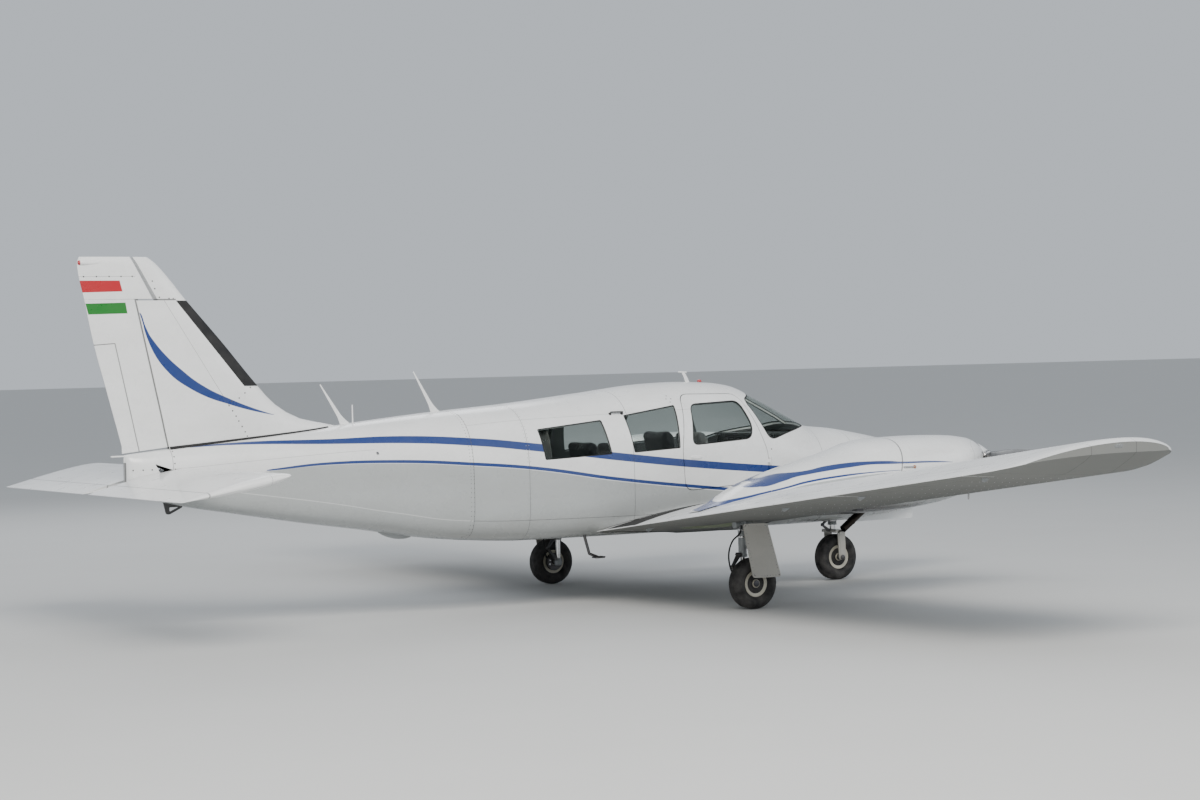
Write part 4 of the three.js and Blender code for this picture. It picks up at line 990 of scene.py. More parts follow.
# Rivets, screws, hinges and handles
def studs(places, normals, radius=4.0, proud=1.6, kind=0):
    """Low rivet or screw heads at places on a surface."""
    places, normals = np.atleast_2d(places), unit(np.atleast_2d(normals))
    side = unit(np.cross(normals, np.where(np.abs(normals[:, 2:]) < 0.9, [[0, 0, 1.0]], [[1.0, 0, 0]])))
    angle = turns(6)[:, None, None]
    ring = np.cos(angle) * side + np.sin(angle) * np.cross(normals, side)
    low = places + ring * radius - normals * 0.6
    high = places + ring * radius * 0.62 + normals * proud
    return Solid().merge(*[loft([low[:, i], high[:, i]], kind=kind) for i in range(len(places))])


def skin_studs(flat, radius=4.0, proud=1.4, kind=0):
    base = skin_points(flat)
    return studs(base, skin_points(flat, 2.0) - base, radius, proud, kind)


def seam_studs(seams, first, last, holes, step=44.0, kind=0):
    """Rivets in two rows along round seams, away from the openings."""
    girth = np.arange(step / 2, GIRTH, step)
    flat = np.vstack([columns(x + offset, girth) for x in seams for offset in (-13, 13)
                      if first + 8 < x + offset < last - 8])
    for hole in holes:
        flat = flat[~inside(flat, grown(hole, 16))]
    return skin_studs(flat, kind=kind)


def hinge_half(hinge, on_door):
    """Knuckles and straps of a door hinge, for the door or for the frame."""
    places, axis, out, deep = hinge
    axis = unit(axis)
    out = unit(out - axis * np.dot(out, axis))
    side = np.cross(axis, out) * (-1 if on_door else 1)
    half = Solid()
    for place in np.asarray(places, float):
        for low, high in (((-15, 15),) if on_door else ((-35, -15.5), (15.5, 35))):
            half.merge(rod(place + axis * low, place + axis * high, 7, sides=16))
            half.merge(loft([[place + axis * reach + side * a + out * (b - (deep - 8) * max(a, 0) / 30)
                              for a, b in ((-3, 1), (30, 1), (30, -3), (-3, -3))] for reach in (low, high)]))
    return half


def skin_handle(x, z, side, length, kind=3):
    """A flush handle: an oval plate with a raised paddle."""
    flat = flat_from_side([[x, z]], side)
    place = skin_points(flat)[0]
    out = unit(skin_points(flat, 10)[0] - place)
    along = unit([1, 0, 0] - out * out[0])
    up = np.cross(out, along)
    angle = turns(28)[:, None]
    oval = np.sign(np.cos(angle)) * np.abs(np.cos(angle)) ** 0.8
    handle = Solid()
    for reach, wide, low, high in ((length / 2, 22, -3, 2.0), (length / 2 - 10, 13, 1, 7.0)):
        handle.merge(loft([place + out * height + scale * (oval * reach * along + np.sin(angle) * wide * up)
                           for height, scale in ((low, 1.0), (high - 1.5, 1.0), (high, 0.92))], kind=kind))
    return handle


def grab_handle(first, last, side):
    """A raised bar handle between two places x, z on the skin."""
    flat = flat_from_side([first, last], side)
    ends = skin_points(flat)
    out = unit(skin_points(flat, 10) - ends)
    path = [ends[0] - out[0] * 3, ends[0] + out[0] * 22, ends[1] + out[1] * 22, ends[1] - out[1] * 3]
    handle = tube(subdivided(path, 12, closed=False), 7)
    return handle.merge(*[rod(end - way * 2, end + way * 5, 15, 12) for end, way in zip(ends, out)])


# Fuselage
FRONT_LOOP = rounded(FRONT_WINDOW, FRONT_WINDOW_ROUND)
MIDDLE_LOOP = rounded(MIDDLE_WINDOW, WINDOW_ROUND)
REAR_LOOP = rounded(REAR_WINDOW, WINDOW_ROUND)
CREW_LOOP = rounded(CREW_DOOR, DOOR_ROUND)
PASSENGER_LOOP = rounded(PASSENGER_DOOR, DOOR_ROUND)
NOSE_LOOP = rounded(NOSE_DOOR, NOSE_DOOR_ROUND)
WINDOW_RING, SCREEN_RING, DOOR_RING = (9, -1.2, -4.5), (11, -1.0, -4.5), (24, -9.5, -16)


def thinned(loop, least):
    """An outline without points that lie on top of each other."""
    kept = [loop[0]]
    for point in loop[1:]:
        if np.linalg.norm(point - kept[-1]) > least:
            kept.append(point)
    if np.linalg.norm(kept[0] - kept[-1]) <= least:
        kept.pop()
    return np.array(kept)


def screen_outline(side):
    """The windscreen half's outline on the flat skin: sill, pillar beside the middle, and back edge."""
    loop = rounded([*SCREEN_SILL, (2430, 1900), (1890, 1900), *SCREEN_BACK], SCREEN_ROUND, step=12)
    x, z = loop.T
    middle = skin_z(x, PILLAR)
    flat = flat_from_side(columns(x, np.minimum(z, middle)), side)
    pillar = flat_from_plan(columns(x, side * PILLAR))
    return thinned(np.where((z >= middle)[:, None], pillar, flat), 4.0)


OPENINGS = {
    "front_window_left": flat_from_side(FRONT_LOOP, LEFT),
    "middle_window_left": flat_from_side(MIDDLE_LOOP, LEFT),
    "middle_window_right": flat_from_side(MIDDLE_LOOP, RIGHT),
    "rear_window_right": flat_from_side(REAR_LOOP, RIGHT),
    "windscreen_left": screen_outline(LEFT),
    "windscreen_right": screen_outline(RIGHT),
    "crew_door": flat_from_side(CREW_LOOP, RIGHT),
    "passenger_door": flat_from_side(PASSENGER_LOOP, LEFT),
}


def seal_ring(outline, width, high, low):
    """A rubber ring inside an opening of the skin."""
    inner = grown(outline, -width)
    return loft([skin_points(*row) for row in ((outline, high), (inner, high), (inner, low), (outline, low))],
                closed=True, kind=2)


def skin_grid(first, last, step):
    return (np.linspace(first, last, round((last - first) / step) + 1),
            np.linspace(0, GIRTH, round(GIRTH / 26) + 1))


def skin_part(us, vs, holes, deep):
    """A hollow part of the fuselage: painted outside and lined inside."""
    return shell(*sheet_triangles(us, vs, holes), 0, -deep, (0, 1, 0))


def cabin_skin():
    """Makes the cabin's outer skin and openings."""
    holes = list(OPENINGS.values())
    skin = skin_part(*skin_grid(TAIL_SEAM, NOSE_SEAM, 52), holes, 24)
    for name, outline in OPENINGS.items():
        skin.merge(seal_ring(outline, *(SCREEN_RING if "screen" in name else DOOR_RING if "door" in name
                                        else WINDOW_RING)))
    skin.merge(seam_studs((380, 2460), TAIL_SEAM, NOSE_SEAM, holes))
    skin.merge(seam_studs((-644,), TAIL_SEAM, NOSE_SEAM, holes, kind=4))
    skin.merge(hinge_half(CREW_HINGE, False), hinge_half(PASSENGER_HINGE, False))
    skin.merge(skin_studs(flat_from_side([[1852, 1290]], RIGHT), 7, 2.2, 2))
    screws = [[866, 1742], [890, 1770], [862, 1796], [840, 1770]]
    skin.merge(skin_studs(flat_from_side(screws, RIGHT), 6.5, 1.8, 2))
    build("cabin_skin", skin, ["fuselage_paint", "trim_plastic", "seal_rubber", "steel", "leg_paint"], node="cabin")


def window_pane(name, node, outline, body="airframe"):
    flat, faces = sheet_triangles(*grid_over(outline, 40), keep=grown(outline, -0.8))
    build(name, shell(flat, faces, -3, -8), ["glass"], "glass", node, body)


def window_panes():
    """Makes the windscreen and the side windows."""
    for node, outline in OPENINGS.items():
        if "door" not in node:
            window_pane(node.replace("window", "pane").replace("windscreen", "screen_pane"), node, outline)
    window_pane("crew_pane", "crew_door_window", flat_from_side(FRONT_LOOP, RIGHT), "crew_door")
    window_pane("passenger_pane", "passenger_door_window", flat_from_side(REAR_LOOP, LEFT), "passenger_door")


def door_leaf(body, loop, window, side, hinge, handles):
    """A door: its outer skin, an inner pan, the window's rubber, its half of the hinge and its handles."""
    opening = [] if window is None else [flat_from_side(window, side)]
    door = Solid()
    for inset, outer, inner, kinds in ((DOOR_GAP, 0, -SKIN, (0, 1, 0)), (PAN_INSET, 1 - SKIN, -24, (1, 1, 1))):
        keep = flat_from_side(grown(loop, -inset), side)
        door.merge(shell(*sheet_triangles(*grid_over(keep, 45), opening, keep), outer, inner, kinds))
    door.merge(*[seal_ring(outline, *WINDOW_RING) for outline in opening], hinge_half(hinge, True), *handles)
    build(f"{body}_leaf", door, ["fuselage_paint", "trim_plastic", "seal_rubber", "steel"], node=body, body=body)


def doors():
    """Makes the crew, passenger and nose doors."""
    door_leaf("crew_door", CREW_LOOP, FRONT_LOOP, RIGHT, CREW_HINGE, [skin_handle(1030, 1250, RIGHT, 130, 0)])
    door_leaf("passenger_door", PASSENGER_LOOP, REAR_LOOP, LEFT, PASSENGER_HINGE,
              [skin_handle(-520, 1190, LEFT, 130)])
    door_leaf("nose_door", NOSE_LOOP, None, LEFT, NOSE_HINGE, [skin_handle(x, 975, LEFT, 60) for x in (2850, 3250)])


def both_sides(x, y):
    """An outline from its half on one side of y = 0."""
    return np.vstack([columns(x, y), columns(x, -y)[::-1]])


def plan_plate(first, last, count, z, grow, thickness, kind=0):
    """A level plate that fills the hull at a height."""
    x = np.linspace(first, last, count)
    return plate(both_sides(x, side_y(x, z, grow)), z, z - thickness, kind)


def bulkhead(x, thickness, grow, low=-math.inf, high=math.inf, kind=0):
    """A wall across the hull, level where it is cut off."""
    rings = hull_points(FUSELAGE, [[x], [x + thickness]], turns(72), grow)
    rings[..., 2] = np.clip(rings[..., 2], low, high)
    return loft(rings, kind=kind)


def hull_end(x, *steps):
    """Closes the hull at x: each step has the share of the section that is left and the way ahead."""
    ring = hull_points(FUSELAGE, x, turns(40))
    return loft([ring, *[ring * share + ring.mean(0) * (1 - share) + [ahead, 0, 0] for share, ahead in steps]])


def nose_skin():
    """Makes the nose with its baggage room and wheel bay."""
    door = flat_from_side(NOSE_LOOP, LEFT)
    first, last, half, ceiling = BAY
    bay = flat_from_plan(subdivided([[first, half], [last, half], [last, -half], [first, -half]], 30), False)
    skin = skin_part(*skin_grid(NOSE_SEAM, 4360, 44), [door, bay], 9)
    skin.merge(seal_ring(door, 20, -9.5, -14), hull_end(4358.0, (0.5, 1), (0.02, 1.5)))
    skin.merge(seam_studs((2880, 3560), NOSE_SEAM, 4360, [door, bay]))
    skin.merge(hinge_half(NOSE_HINGE, False), kind=3)
    back, front, floor = BAGGAGE
    skin.merge(plan_plate(back, front, 18, floor, -12, 10, 1))
    for x in (back - 8, front):
        skin.merge(bulkhead(x, 8, -12, floor, kind=1))
    for x in (first - 6, last):
        skin.merge(block((x, x + 6), (-half - 6, half + 6), (700, ceiling), 4))
    for y in (-half - 6, half):
        skin.merge(block((first, last), (y, y + 6), (690, ceiling), 4))
    skin.merge(block((first, last), (-half, half), (ceiling, ceiling + 6), 4))
    skin.merge(bulkhead(NOSE_SEAM + 4, 6, -12, kind=1))
    build("nose_skin", skin, ["fuselage_paint", "trim_plastic", "seal_rubber", "steel", "bay_paint"], node="nose")


def tail_skin():
    """Makes the fuselage behind the cabin."""
    slot = rounded([[-3795, 1385], [-3640, 1325], [-3731, 1250]], 14, 8)
    cutouts = [flat_from_side(slot, side) for side in (LEFT, RIGHT)]
    us, vs = skin_grid(-4020, TAIL_SEAM, 62)
    us = np.concatenate([[-4020, -4015, -4008, -3998, -3985], us[us > -3970]])
    skin = skin_part(us, vs, cutouts, 12)
    skin.merge(seam_studs((-1165,), -4020, TAIL_SEAM + 10, cutouts, 40, 4))
    rows = [[-3635, z] for z in (1478, 1435, 1382, 1335)] + [[x, 1338] for x in (-3968, -3891, -3820, -3757)]
    for places, *head in ((rows, 7.5, 1.6, 4), ([[-1966, 1402]], 16, 3, 2), ([[-1966, 1402]], 5, 5, 3)):
        skin.merge(*[skin_studs(flat_from_side(places, side), *head) for side in (LEFT, RIGHT)])
    skin.merge(slab(rounded(rectangle(-4126, -4010, 1447, 1458), 5, 20), -13, 13))
    skin.merge(hull_end(-4019.0, (0.96, -3)), bulkhead(TAIL_SEAM - 12, 8, -14, kind=1))
    skin.merge(rod(rudder_axis(1470.0), rudder_axis(1509.0), 6, kind=2))
    # Its lining and its bulkhead are black, as painted shade inside the closed tailcone
    build("tailcone_skin", skin, ["fuselage_paint", "soot_black", "steel", "seal_rubber", "rivet_paint"],
          node="tailcone")


# Wing
def half_thickness(share):
    share = np.asarray(share, float)
    return 5 * (0.2969 * np.sqrt(share) - 0.126 * share - 0.3516 * share**2 + 0.2843 * share**3
                - 0.1015 * share**4)


def wing_points(y, share, sign, grow=0.0):
    """Points of the left wing's upper or lower surface at y and a share of the chord."""
    y, share = np.broadcast_arrays(np.asarray(y, float), np.asarray(share, float))
    leading, trailing, upper, lower, lift = between(WING_SECTIONS, y.ravel()).T.reshape(5, *y.shape)
    x = leading - share * (leading - trailing)
    base = (TRAILING_Z + (y - ROOT_Y) * DIHEDRAL
            + (np.minimum(x, LEADING_X) - TRAILING_X) * INCIDENCE / DEEP + lift)
    thick = np.maximum(THICKNESS * half_thickness(share), 0.0015) * (upper if sign > 0 else lower)
    thick = np.where(share == 0, 0, thick)
    return np.stack([x, y, base + DEEP * (4 * CAMBER * share * (1 - share) + sign * thick) + sign * grow], -1)


def wing_at(x, y, sign, grow=0.0):
    """Points of the wing's surface at x, y, where its leading edge is straight."""
    return wing_points(y, (LEADING_X - np.asarray(x, float)) / DEEP, sign, grow)


def wing_z(x, y, sign):
    return wing_at(x, y, sign)[..., 2]


def control_z(y):
    return (wing_z(HINGE_X, y, 1) + wing_z(HINGE_X, y, -1)) / 2


HINGE_REACH = float(wing_z(HINGE_X, 2000.0, 1) - control_z(2000.0))


def chord_shares(y):
    """Shares of the chord from the leading edge to the control hinge and on to the trailing edge."""
    leading, trailing = between(WING_SECTIONS, y)[0, :2]
    stop = (leading - HINGE_X) / (leading - trailing)
    return stop * (1 - np.cos(np.linspace(0, math.pi / 2, 26))), np.linspace(stop, 1, 9)[1:]


def half_turn(count):
    """Angles between a quarter turn back and a quarter turn ahead."""
    return np.linspace(-math.pi / 2, math.pi / 2, count + 2)[1:-1]


def cove_arc(y, low, top):
    """The round hollow ahead of a flap or aileron."""
    axis = control_z(y)
    start, end = [math.atan2(place[2] - axis, place[0] - HINGE_X) for place in (low, top)]
    angle = np.linspace(start, end, 13)[1:-1]
    reach = HINGE_REACH + COVE * np.sin(np.linspace(0, math.pi, 13))[1:-1]
    return columns(HINGE_X + reach * np.cos(angle), y, axis + reach * np.sin(angle))


def wing_ring(y, cut=False):
    """A section: whole, or ending in the cove."""
    front, aft = chord_shares(y)
    shares = front if cut else np.concatenate([front, aft])
    top, low = wing_points(y, shares, 1)[::-1], wing_points(y, shares[1:], -1)
    return np.vstack([top, low, *([cove_arc(y, low[-1], top[0])] if cut else [])])


def root_ring():
    """The section where the wing meets the fuselage side."""
    shares = np.concatenate(chord_shares(610.0))
    rings = []
    for sign, order in ((1, shares[::-1]), (-1, shares[1:])):
        y = np.full(len(order), 600.0)
        for _ in range(6):
            points = wing_points(y, order, sign)
            y = side_y(points[:, 0], points[:, 2])
        rings.append(wing_points(y - 6, order, sign))
    return np.vstack(rings)


def wing_solid():
    first, last = FLAP[0] - END_GAP, AILERON[1] + END_GAP
    inner = [root_ring(), wing_ring(622.0), wing_ring(first)]
    middle = [wing_ring(y, True) for y in (first, *range(700, 1260, 70), *range(1300, 5400, 200), last)]
    outer = [wing_ring(y) for y in (last, 5500, 5620, 5680, 5740, 5790, 5830, 5865, 5895, 5915, 5922)]
    wing = Solid().merge(*[loft(rings, caps=False) for rings in (inner, middle, outer)])
    webs = [np.vstack([wing_ring(y)[:9], wing_ring(y, True)[:-12:-1], wing_ring(y)[-8:]]) for y in (first, last)]
    for face in (inner[0], outer[-1], *webs):
        wing.add(face, [range(len(face))])
    return wing


def well_tools():
    """The wheel well and the leg's slot, cut up into the lower skin."""
    ceiling = TRAILING_Z + (WELL_Y - ROOT_Y) * DIHEDRAL + (WELL_X - TRAILING_X) * INCIDENCE / DEEP + WELL_CEILING
    angle = turns(48)
    well = columns(WELL_X + WELL_RADIUS * np.cos(angle), WELL_Y + WELL_RADIUS * np.sin(angle))
    slot = level(rectangle(WELL_X - WELL_SLOT, WELL_X + WELL_SLOT, WELL_Y, WELL_END), 300.0)
    raised = level(slot, ceiling + (slot[:, 1] - WELL_Y) * DIHEDRAL - 12)
    return [plate(well, 300.0, ceiling, 1), loft([slot, raised], kind=1)]


def wings():
    """Makes both wings with their wheel wells."""
    rivets, brackets = Solid(), Solid()
    for y in (2360, 2640, 2940, 3250, 3570, 3886, 4190, 4500, 4780, 5060, 5340):
        for sign in (1, -1):
            places = wing_at(np.arange(420, 1500, 70.0), y, sign)
            rivets.merge(studs(places, [0, -0.12 * sign, sign], 3.5, 1.2))
    for y in (900, 2900, 3878, 5300):
        z = float(wing_z(HINGE_X, y, -1))
        outline = [[390, z + 10], [310, z + 6], [306, z - 18], [330, z - 30], [352, z - 18], [392, z + 2]]
        brackets.merge(slab(rounded(outline, 8, 8), y - 4, y + 4))
    pad = block((1205, 1275), (2615, 2685), (838.88, 880))
    root = root_ring()
    seal = tube(root[root[:, 0] > 60] + [0, 4, 0], 5.5, 8)
    build_pair("wing_skin", wing_solid(), ["wing_paint", "bay_paint"], node="wing", tools=well_tools())
    build_pair("wing_rivets", rivets, ["white_paint"])
    build_pair("hinge_brackets", brackets, ["leg_paint"], bevel=1.5)
    build_pair("jack_pad", pad, ["dark_metal"], "engine_metal", bevel=2)
    build_pair("root_seal", seal, ["seal_rubber"], "tyre")


def control_surface(first, last, lines):
    """A flap or aileron behind a round nose."""
    def ring(y):
        x, angle = np.linspace(HINGE_X, TRAILING_X, 12), half_turn(12)
        nose = columns(HINGE_X + HINGE_REACH * np.cos(angle), y, control_z(y) + HINGE_REACH * np.sin(angle))
        return np.vstack([wing_at(x, y, 1, 0.5), wing_at(x, y, -1, 0.5)[::-1], nose])
    surface = loft([ring(y) for y in np.linspace(first, last, 24)])
    for y in lines:
        for sign in (1, -1):
            surface.merge(studs(wing_at(np.arange(90, 320, 32), y, sign, 0.5), [0, 0, sign], 3.2, 1.2))
    return surface


def control_surfaces():
    """Makes the flaps and the ailerons."""
    for name, ends, lines in (("flap", FLAP, (760, 1380, 1850, 2450, 3150, 3760)),
                              ("aileron", AILERON, (4000, 4260, 4700, 5100, 5320))):
        build_pair(f"{name}_skin", control_surface(*ends, lines), ["flap_paint"], node=name, body=name)


def tip_lights():
    """Makes the lights at the wing tips, red on the left and green on the right."""
    place = np.array([1015.0, 5911.0, 1420.0])
    angle = turns(24)
    cover = np.array([columns(x, 0.8 * r * np.cos(angle), r * np.sin(angle)) for x, r in
                      ((-52, 3), (-44, 13), (-28, 20), (0, 22), (28, 20), (44, 13), (52, 3))])
    lamp = loft(place + cover * [0.5, 0.55, 0.55])
    housing = turned([(3, -34), (30, -34), (30, -8), (26, -4), (3, -4)], place, sides=32)
    housing = housing.moved(lambda p: place + (p - place) * [1.9, 1, 0.8])
    build_pair("tip_light_cover", loft(place + cover), ["clear_lens"], "glass")
    build_pair("tip_light_housing", housing, ["white_paint"], "glass")
    build("tip_light_lamp_left", lamp, ["red_lens"], "glass")
    build("tip_light_lamp_right", lamp.mirrored(), ["green_lens"], "glass")


# Nacelles and engines
def nacelle_rings(xs, grow=0.0):
    return hull_points(NACELLE, np.reshape(xs, (-1, 1)), turns(80), grow, ENGINE_Y)


def nacelle_studs(x, z, out, radius=4.0):
    """Screw heads on the nacelle side; out is 1 on the outer side, -1 on the inner."""
    half, bottom, top, wide, _, _ = between(NACELLE, x).T
    y = side_y(x, z, table=NACELLE)
    slope = (z - wide) / np.where(z >= wide, top - wide, wide - bottom) * 0.8
    return studs(columns(x, ENGINE_Y + out * y, z), columns(0, out * np.maximum(y, 1) / half, slope), radius)


def seam_x(z):
    """x of the slanted joint between the nacelle and its cowling panels."""
    return 2010 + (z - 1160) * 0.3


def tail_heights(x, y):
    """Heights of the nacelle's crown and of its floor over the wing, near its end."""
    half, _, top, wide = between(NACELLE_TAIL, x)[0]
    crown = wide + (top - wide) * np.sqrt(np.maximum(1 - (y / half) ** 2, 0))
    return crown, wing_z(x, ENGINE_Y + y, 1) + np.interp(x, [338, 352], [8, -6])


def nacelle_tail():
    """The end of the nacelle, over the flap and clear of its upper skin."""
    rings = []
    for x in np.linspace(380, 196, 14):
        y = between(NACELLE_TAIL, x)[0, 0] * np.cos(np.linspace(0, math.pi, 61))
        crown, floor = tail_heights(x, y)
        over = y[crown > floor + 0.5]
        y = np.linspace(over[0], over[-1], 25)
        crown, floor = tail_heights(x, y)
        rings.append(np.vstack([columns(x, ENGINE_Y + y, np.maximum(crown, floor + 0.5)),
                                columns(x, ENGINE_Y + y, floor)[::-1]]))
    return loft(rings)


def nacelles():
    """Makes the nacelles behind the engines."""
    xs = [376, 390, 410, 450, 520, 600, 700, *range(820, 2100, 110), COWL_SEAM - 0.5]
    screws, zs = Solid(), np.arange(860, 1330, 46)
    for out in (1, -1):
        screws.merge(*[nacelle_studs(seam_x(zs) + gap, zs, out) for gap in (-24, 24)])
        screws.merge(nacelle_studs(np.arange(760, 1960, 60), 1008, out, 3.2))
    build_pair("nacelle_skin", loft(nacelle_rings(xs)).merge(nacelle_tail()), ["nacelle_paint"], node="nacelle")
    build_pair("nacelle_screws", screws, ["white_paint"], "engine_metal")


def inlet_ring(x, grow, side):
    angle = turns(40)
    y, z, half_width, half_height = INLET
    return columns(x, ENGINE_Y + side * y + (half_width + grow) * np.cos(angle),
                   z + (half_height + grow) * np.sin(angle))


def cowlings():
    """Makes the cowlings round the engines."""
    xs = [COWL_SEAM, *range(2220, 2900, 85), 2950, 3000, 3040, 3075, 3100, 3118]
    skin = loft([*nacelle_rings(xs), *nacelle_rings(COWL_FRONT, -7.0)])
    cuts = [loft(nacelle_rings([2100, 2300, 2600, 2900, 3000, 3060, 3112], -12.0), kind=1),
            *[loft([inlet_ring(2880, -4, side), inlet_ring(3150, 4, side)]) for side in (1, -1)],
            rod([3060, ENGINE_Y, SHAFT_Z], [3150, ENGINE_Y, SHAFT_Z], 88, sides=48)]
    screws, latches = Solid(), Solid()
    for out in (1, -1):
        screws.merge(nacelle_studs(np.arange(2240, 2800, 62), 1100, out, 4.5))
        place = np.array([2135.0, ENGINE_Y + out * (between(NACELLE, 2135.0)[0, 0] - 3), 1153.0])
        latches.merge(turned([(2, 10), (8, 10), (12, 8), (13, 3), (13, -4)], place, (0, out, 0), 28),
                      rod(place + [0, out * 7, 0], place + [-118, out * 4, 3], 4.5, sides=12, kind=1))
    build_pair("cowling_skin", skin, ["nacelle_paint", "dark_metal"], node="cowling", tools=cuts)
    build_pair("cowling_screws", screws, ["steel"], "engine_metal")
    build_pair("cowl_latch", latches, ["copper", "steel"], "engine_metal")


def exhausts():
    """Makes the exhaust pipes."""
    *ends, radius = EXHAUST
    start, end = [np.array([x, ENGINE_Y, z], float) for x, z in ends]
    length = np.linalg.norm(end - start)
    pipe = turned([(radius, -60), (radius, 250), (radius + 3, 256), (radius + 3, 268), (radius, 274),
                   (radius, length), (radius - 5, length + 1), (radius - 6, length - 4), (radius - 6, 180)],
                  start, end - start, 40)
    pipe.merge(turned([(radius + 2, 60), (radius + 16, 62), (radius + 16, 74), (radius + 2, 78)],
                      start, end - start, 40, kind=1))
    build_pair("exhaust_pipe", pipe, ["exhaust_steel", "dark_metal"], "exhaust_steel", "exhaust")


def propellers():
    """Makes the spinners and blades."""
    back, tip, radius = SPINNER
    hub = np.array([back, ENGINE_Y, SHAFT_Z], float)
    root = hub + [62, 0, 0]
    profile = [(20, 0), (radius - 2, 0), (radius, 2)]
    profile += [(max(radius * (1 - share**1.2) ** 0.9, 3.0), (tip - back) * share)
                for share in np.linspace(0.03, 1, 24)]
    whole = turned(profile, hub, (1, 0, 0), 72)
    whole.merge(turned([(60, -8), (radius - 2, -8), (radius + 1, -4), (radius + 1, 3), (radius - 6, 4)],
                       hub, (1, 0, 0), 72, kind=2))
    reaches = np.concatenate([np.linspace(100, 300, 9), np.linspace(340, 900, 14), [930, 950, 960, 965]])
    painted, angle = 22, turns(28)
    for side in (1, -1):
        rings = []
        for reach, (chord, thick, pitch) in zip(reaches, between(BLADE_SECTIONS, reaches)):
            c, s = math.cos(math.radians(pitch)), math.sin(math.radians(pitch))
            taper = 1.0 if reach < 940 else math.sqrt(max(0.04, 1 - ((reach - 940) / 26) ** 2))
            along = taper * chord / 2 * np.cos(angle)
            across = thick / 2 * np.sin(angle) * (1 + 0.35 * np.cos(angle))
            rings.append(root + columns(along * s - across * c, side * reach, side * (along * c + across * s)))
        whole.merge(loft(rings[:painted + 1], kind=1), loft(rings[painted:], kind=3))
        whole.merge(turned([(40, 118), (54, 120), (56, 142), (48, 152), (40, 154)], root, (0, side, 0), 32, kind=2))
    angle = turns(12, 0.5)
    ring = columns(0, radius * np.cos(angle), radius * np.sin(angle))
    whole.merge(studs(hub + [10, 0, 0] + ring, ring, 4, 1.5, 2))
    build_pair("propeller_blades", whole, ["spinner_paint", "blade_paint", "steel", "blade_tip_paint"],
               "blade_paint", "propeller", "propeller")


# Tail
def rudder_axis(z):
    (x0, z0), (x1, z1) = RUDDER_LOW, RUDDER_HIGH
    return np.array([x0 + (x1 - x0) * (z - z0) / (z1 - z0), 0.0, z])


def tail_half(x, z):
    """Half thickness of the fin and rudder at x, z."""
    leading, trailing, half = between(TAIL_SECTIONS, z).T
    share = np.clip((leading - x) / (leading - trailing), 0, 1)
    return np.maximum(half_thickness(share), 0.03) * 2 * half * (share > 0)


def edge_line(z, back_x, out):
    """Points x, y round the fin's leading edge, moved outwards."""
    leading = between(TAIL_SECTIONS, z)[0, 0]
    x = leading + (back_x - leading) * (1 - np.cos(np.linspace(0, math.pi / 2, len(out))))
    y = tail_half(x, z) + out
    return np.vstack([columns(x, y)[::-1], columns(x, -y)[1:]])


def fin_ring(z, back_x):
    return level(edge_line(z, back_x, np.zeros(26)), z)


def rudder_ring(z, front_x, count):
    """A level section from a place behind the fin to the trailing edge."""
    x = np.linspace(front_x, between(TAIL_SECTIONS, z)[0, 1], count)
    return level(both_sides(x, tail_half(x, z)), z)


def round_end(z, cove):
    """Points of the rudder's round nose, or of the fin's hollow behind it, from the left side to the right."""
    axis, angle = rudder_axis(z)[0], half_turn(11)
    half = tail_half(axis, z)[0]
    reach = half + (COVE if cove else -HINGE_GAP)
    return columns(axis + reach * np.cos(angle), min(reach, half) * np.sin(angle), z)


def tail_studs(places, kind):
    """Rivet heads at places x, z on both sides of the fin or rudder."""
    x, z = np.array(places, float).T
    half = tail_half(x, z)
    return Solid().merge(*[studs(columns(x, side * half, z), [0, side, 0], 7.5, 1.6, kind)
                           for side in (LEFT, RIGHT)])


def fin_skin():
    """Makes the fin."""
    rows = [1440, 1520, 1600, 1628, 1655, 1680, 1703, 1760, 1826, 1900, 1994, *range(2080, 2660, 90), 2688]
    fin = loft([np.vstack([fin_ring(z, rudder_axis(z)[0] + HINGE_GAP), round_end(z, True)]) for z in rows])
    top = [2688, 2760, 2830, 2900, 2960, 2990, 3010, 3026, 3036]
    fin.merge(loft([fin_ring(z, -3714 - (z - 2688) * 0.5546) for z in top]), tail_studs(FIN_STUDS, 1))
    build("fin_skin", fin, ["tail_paint", "rivet_paint"], node="fin")
    xs, zs = np.linspace(-2260, -3640, 40), 1560.0
    for _ in range(14):
        zs = skin_z(xs, tail_half(xs, zs))
    half = tail_half(xs, zs) + 1
    seal = [tube(columns(xs, side * half, zs + 2), np.linspace(8, 17, 40), 8) for side in (LEFT, RIGHT)]
    build("fin_seal", Solid().merge(*seal), ["seal_rubber"], "tyre")


def fin_boot():
    """Makes the rubber boot on the fin's leading edge."""
    out = np.append(np.linspace(3.2, 2.6, 14)[:-1], 0.4)
    rings = []
    for z in np.linspace(1985, 2686, 26):
        edge = -3005 + (z - 1997) * (-3561 + 3005) / (2686 - 1997)
        line = edge_line(z, min(edge, between(TAIL_SECTIONS, z)[0, 0] - 40), out)
        line[13] = line[13, 0] + 3.2, 0
        rings.append(level(np.vstack([line, line[::-1] * [1, 0.9] - [1.5, 0]]), z))
    build("fin_boot", loft(rings), ["boot_rubber"], "tyre")


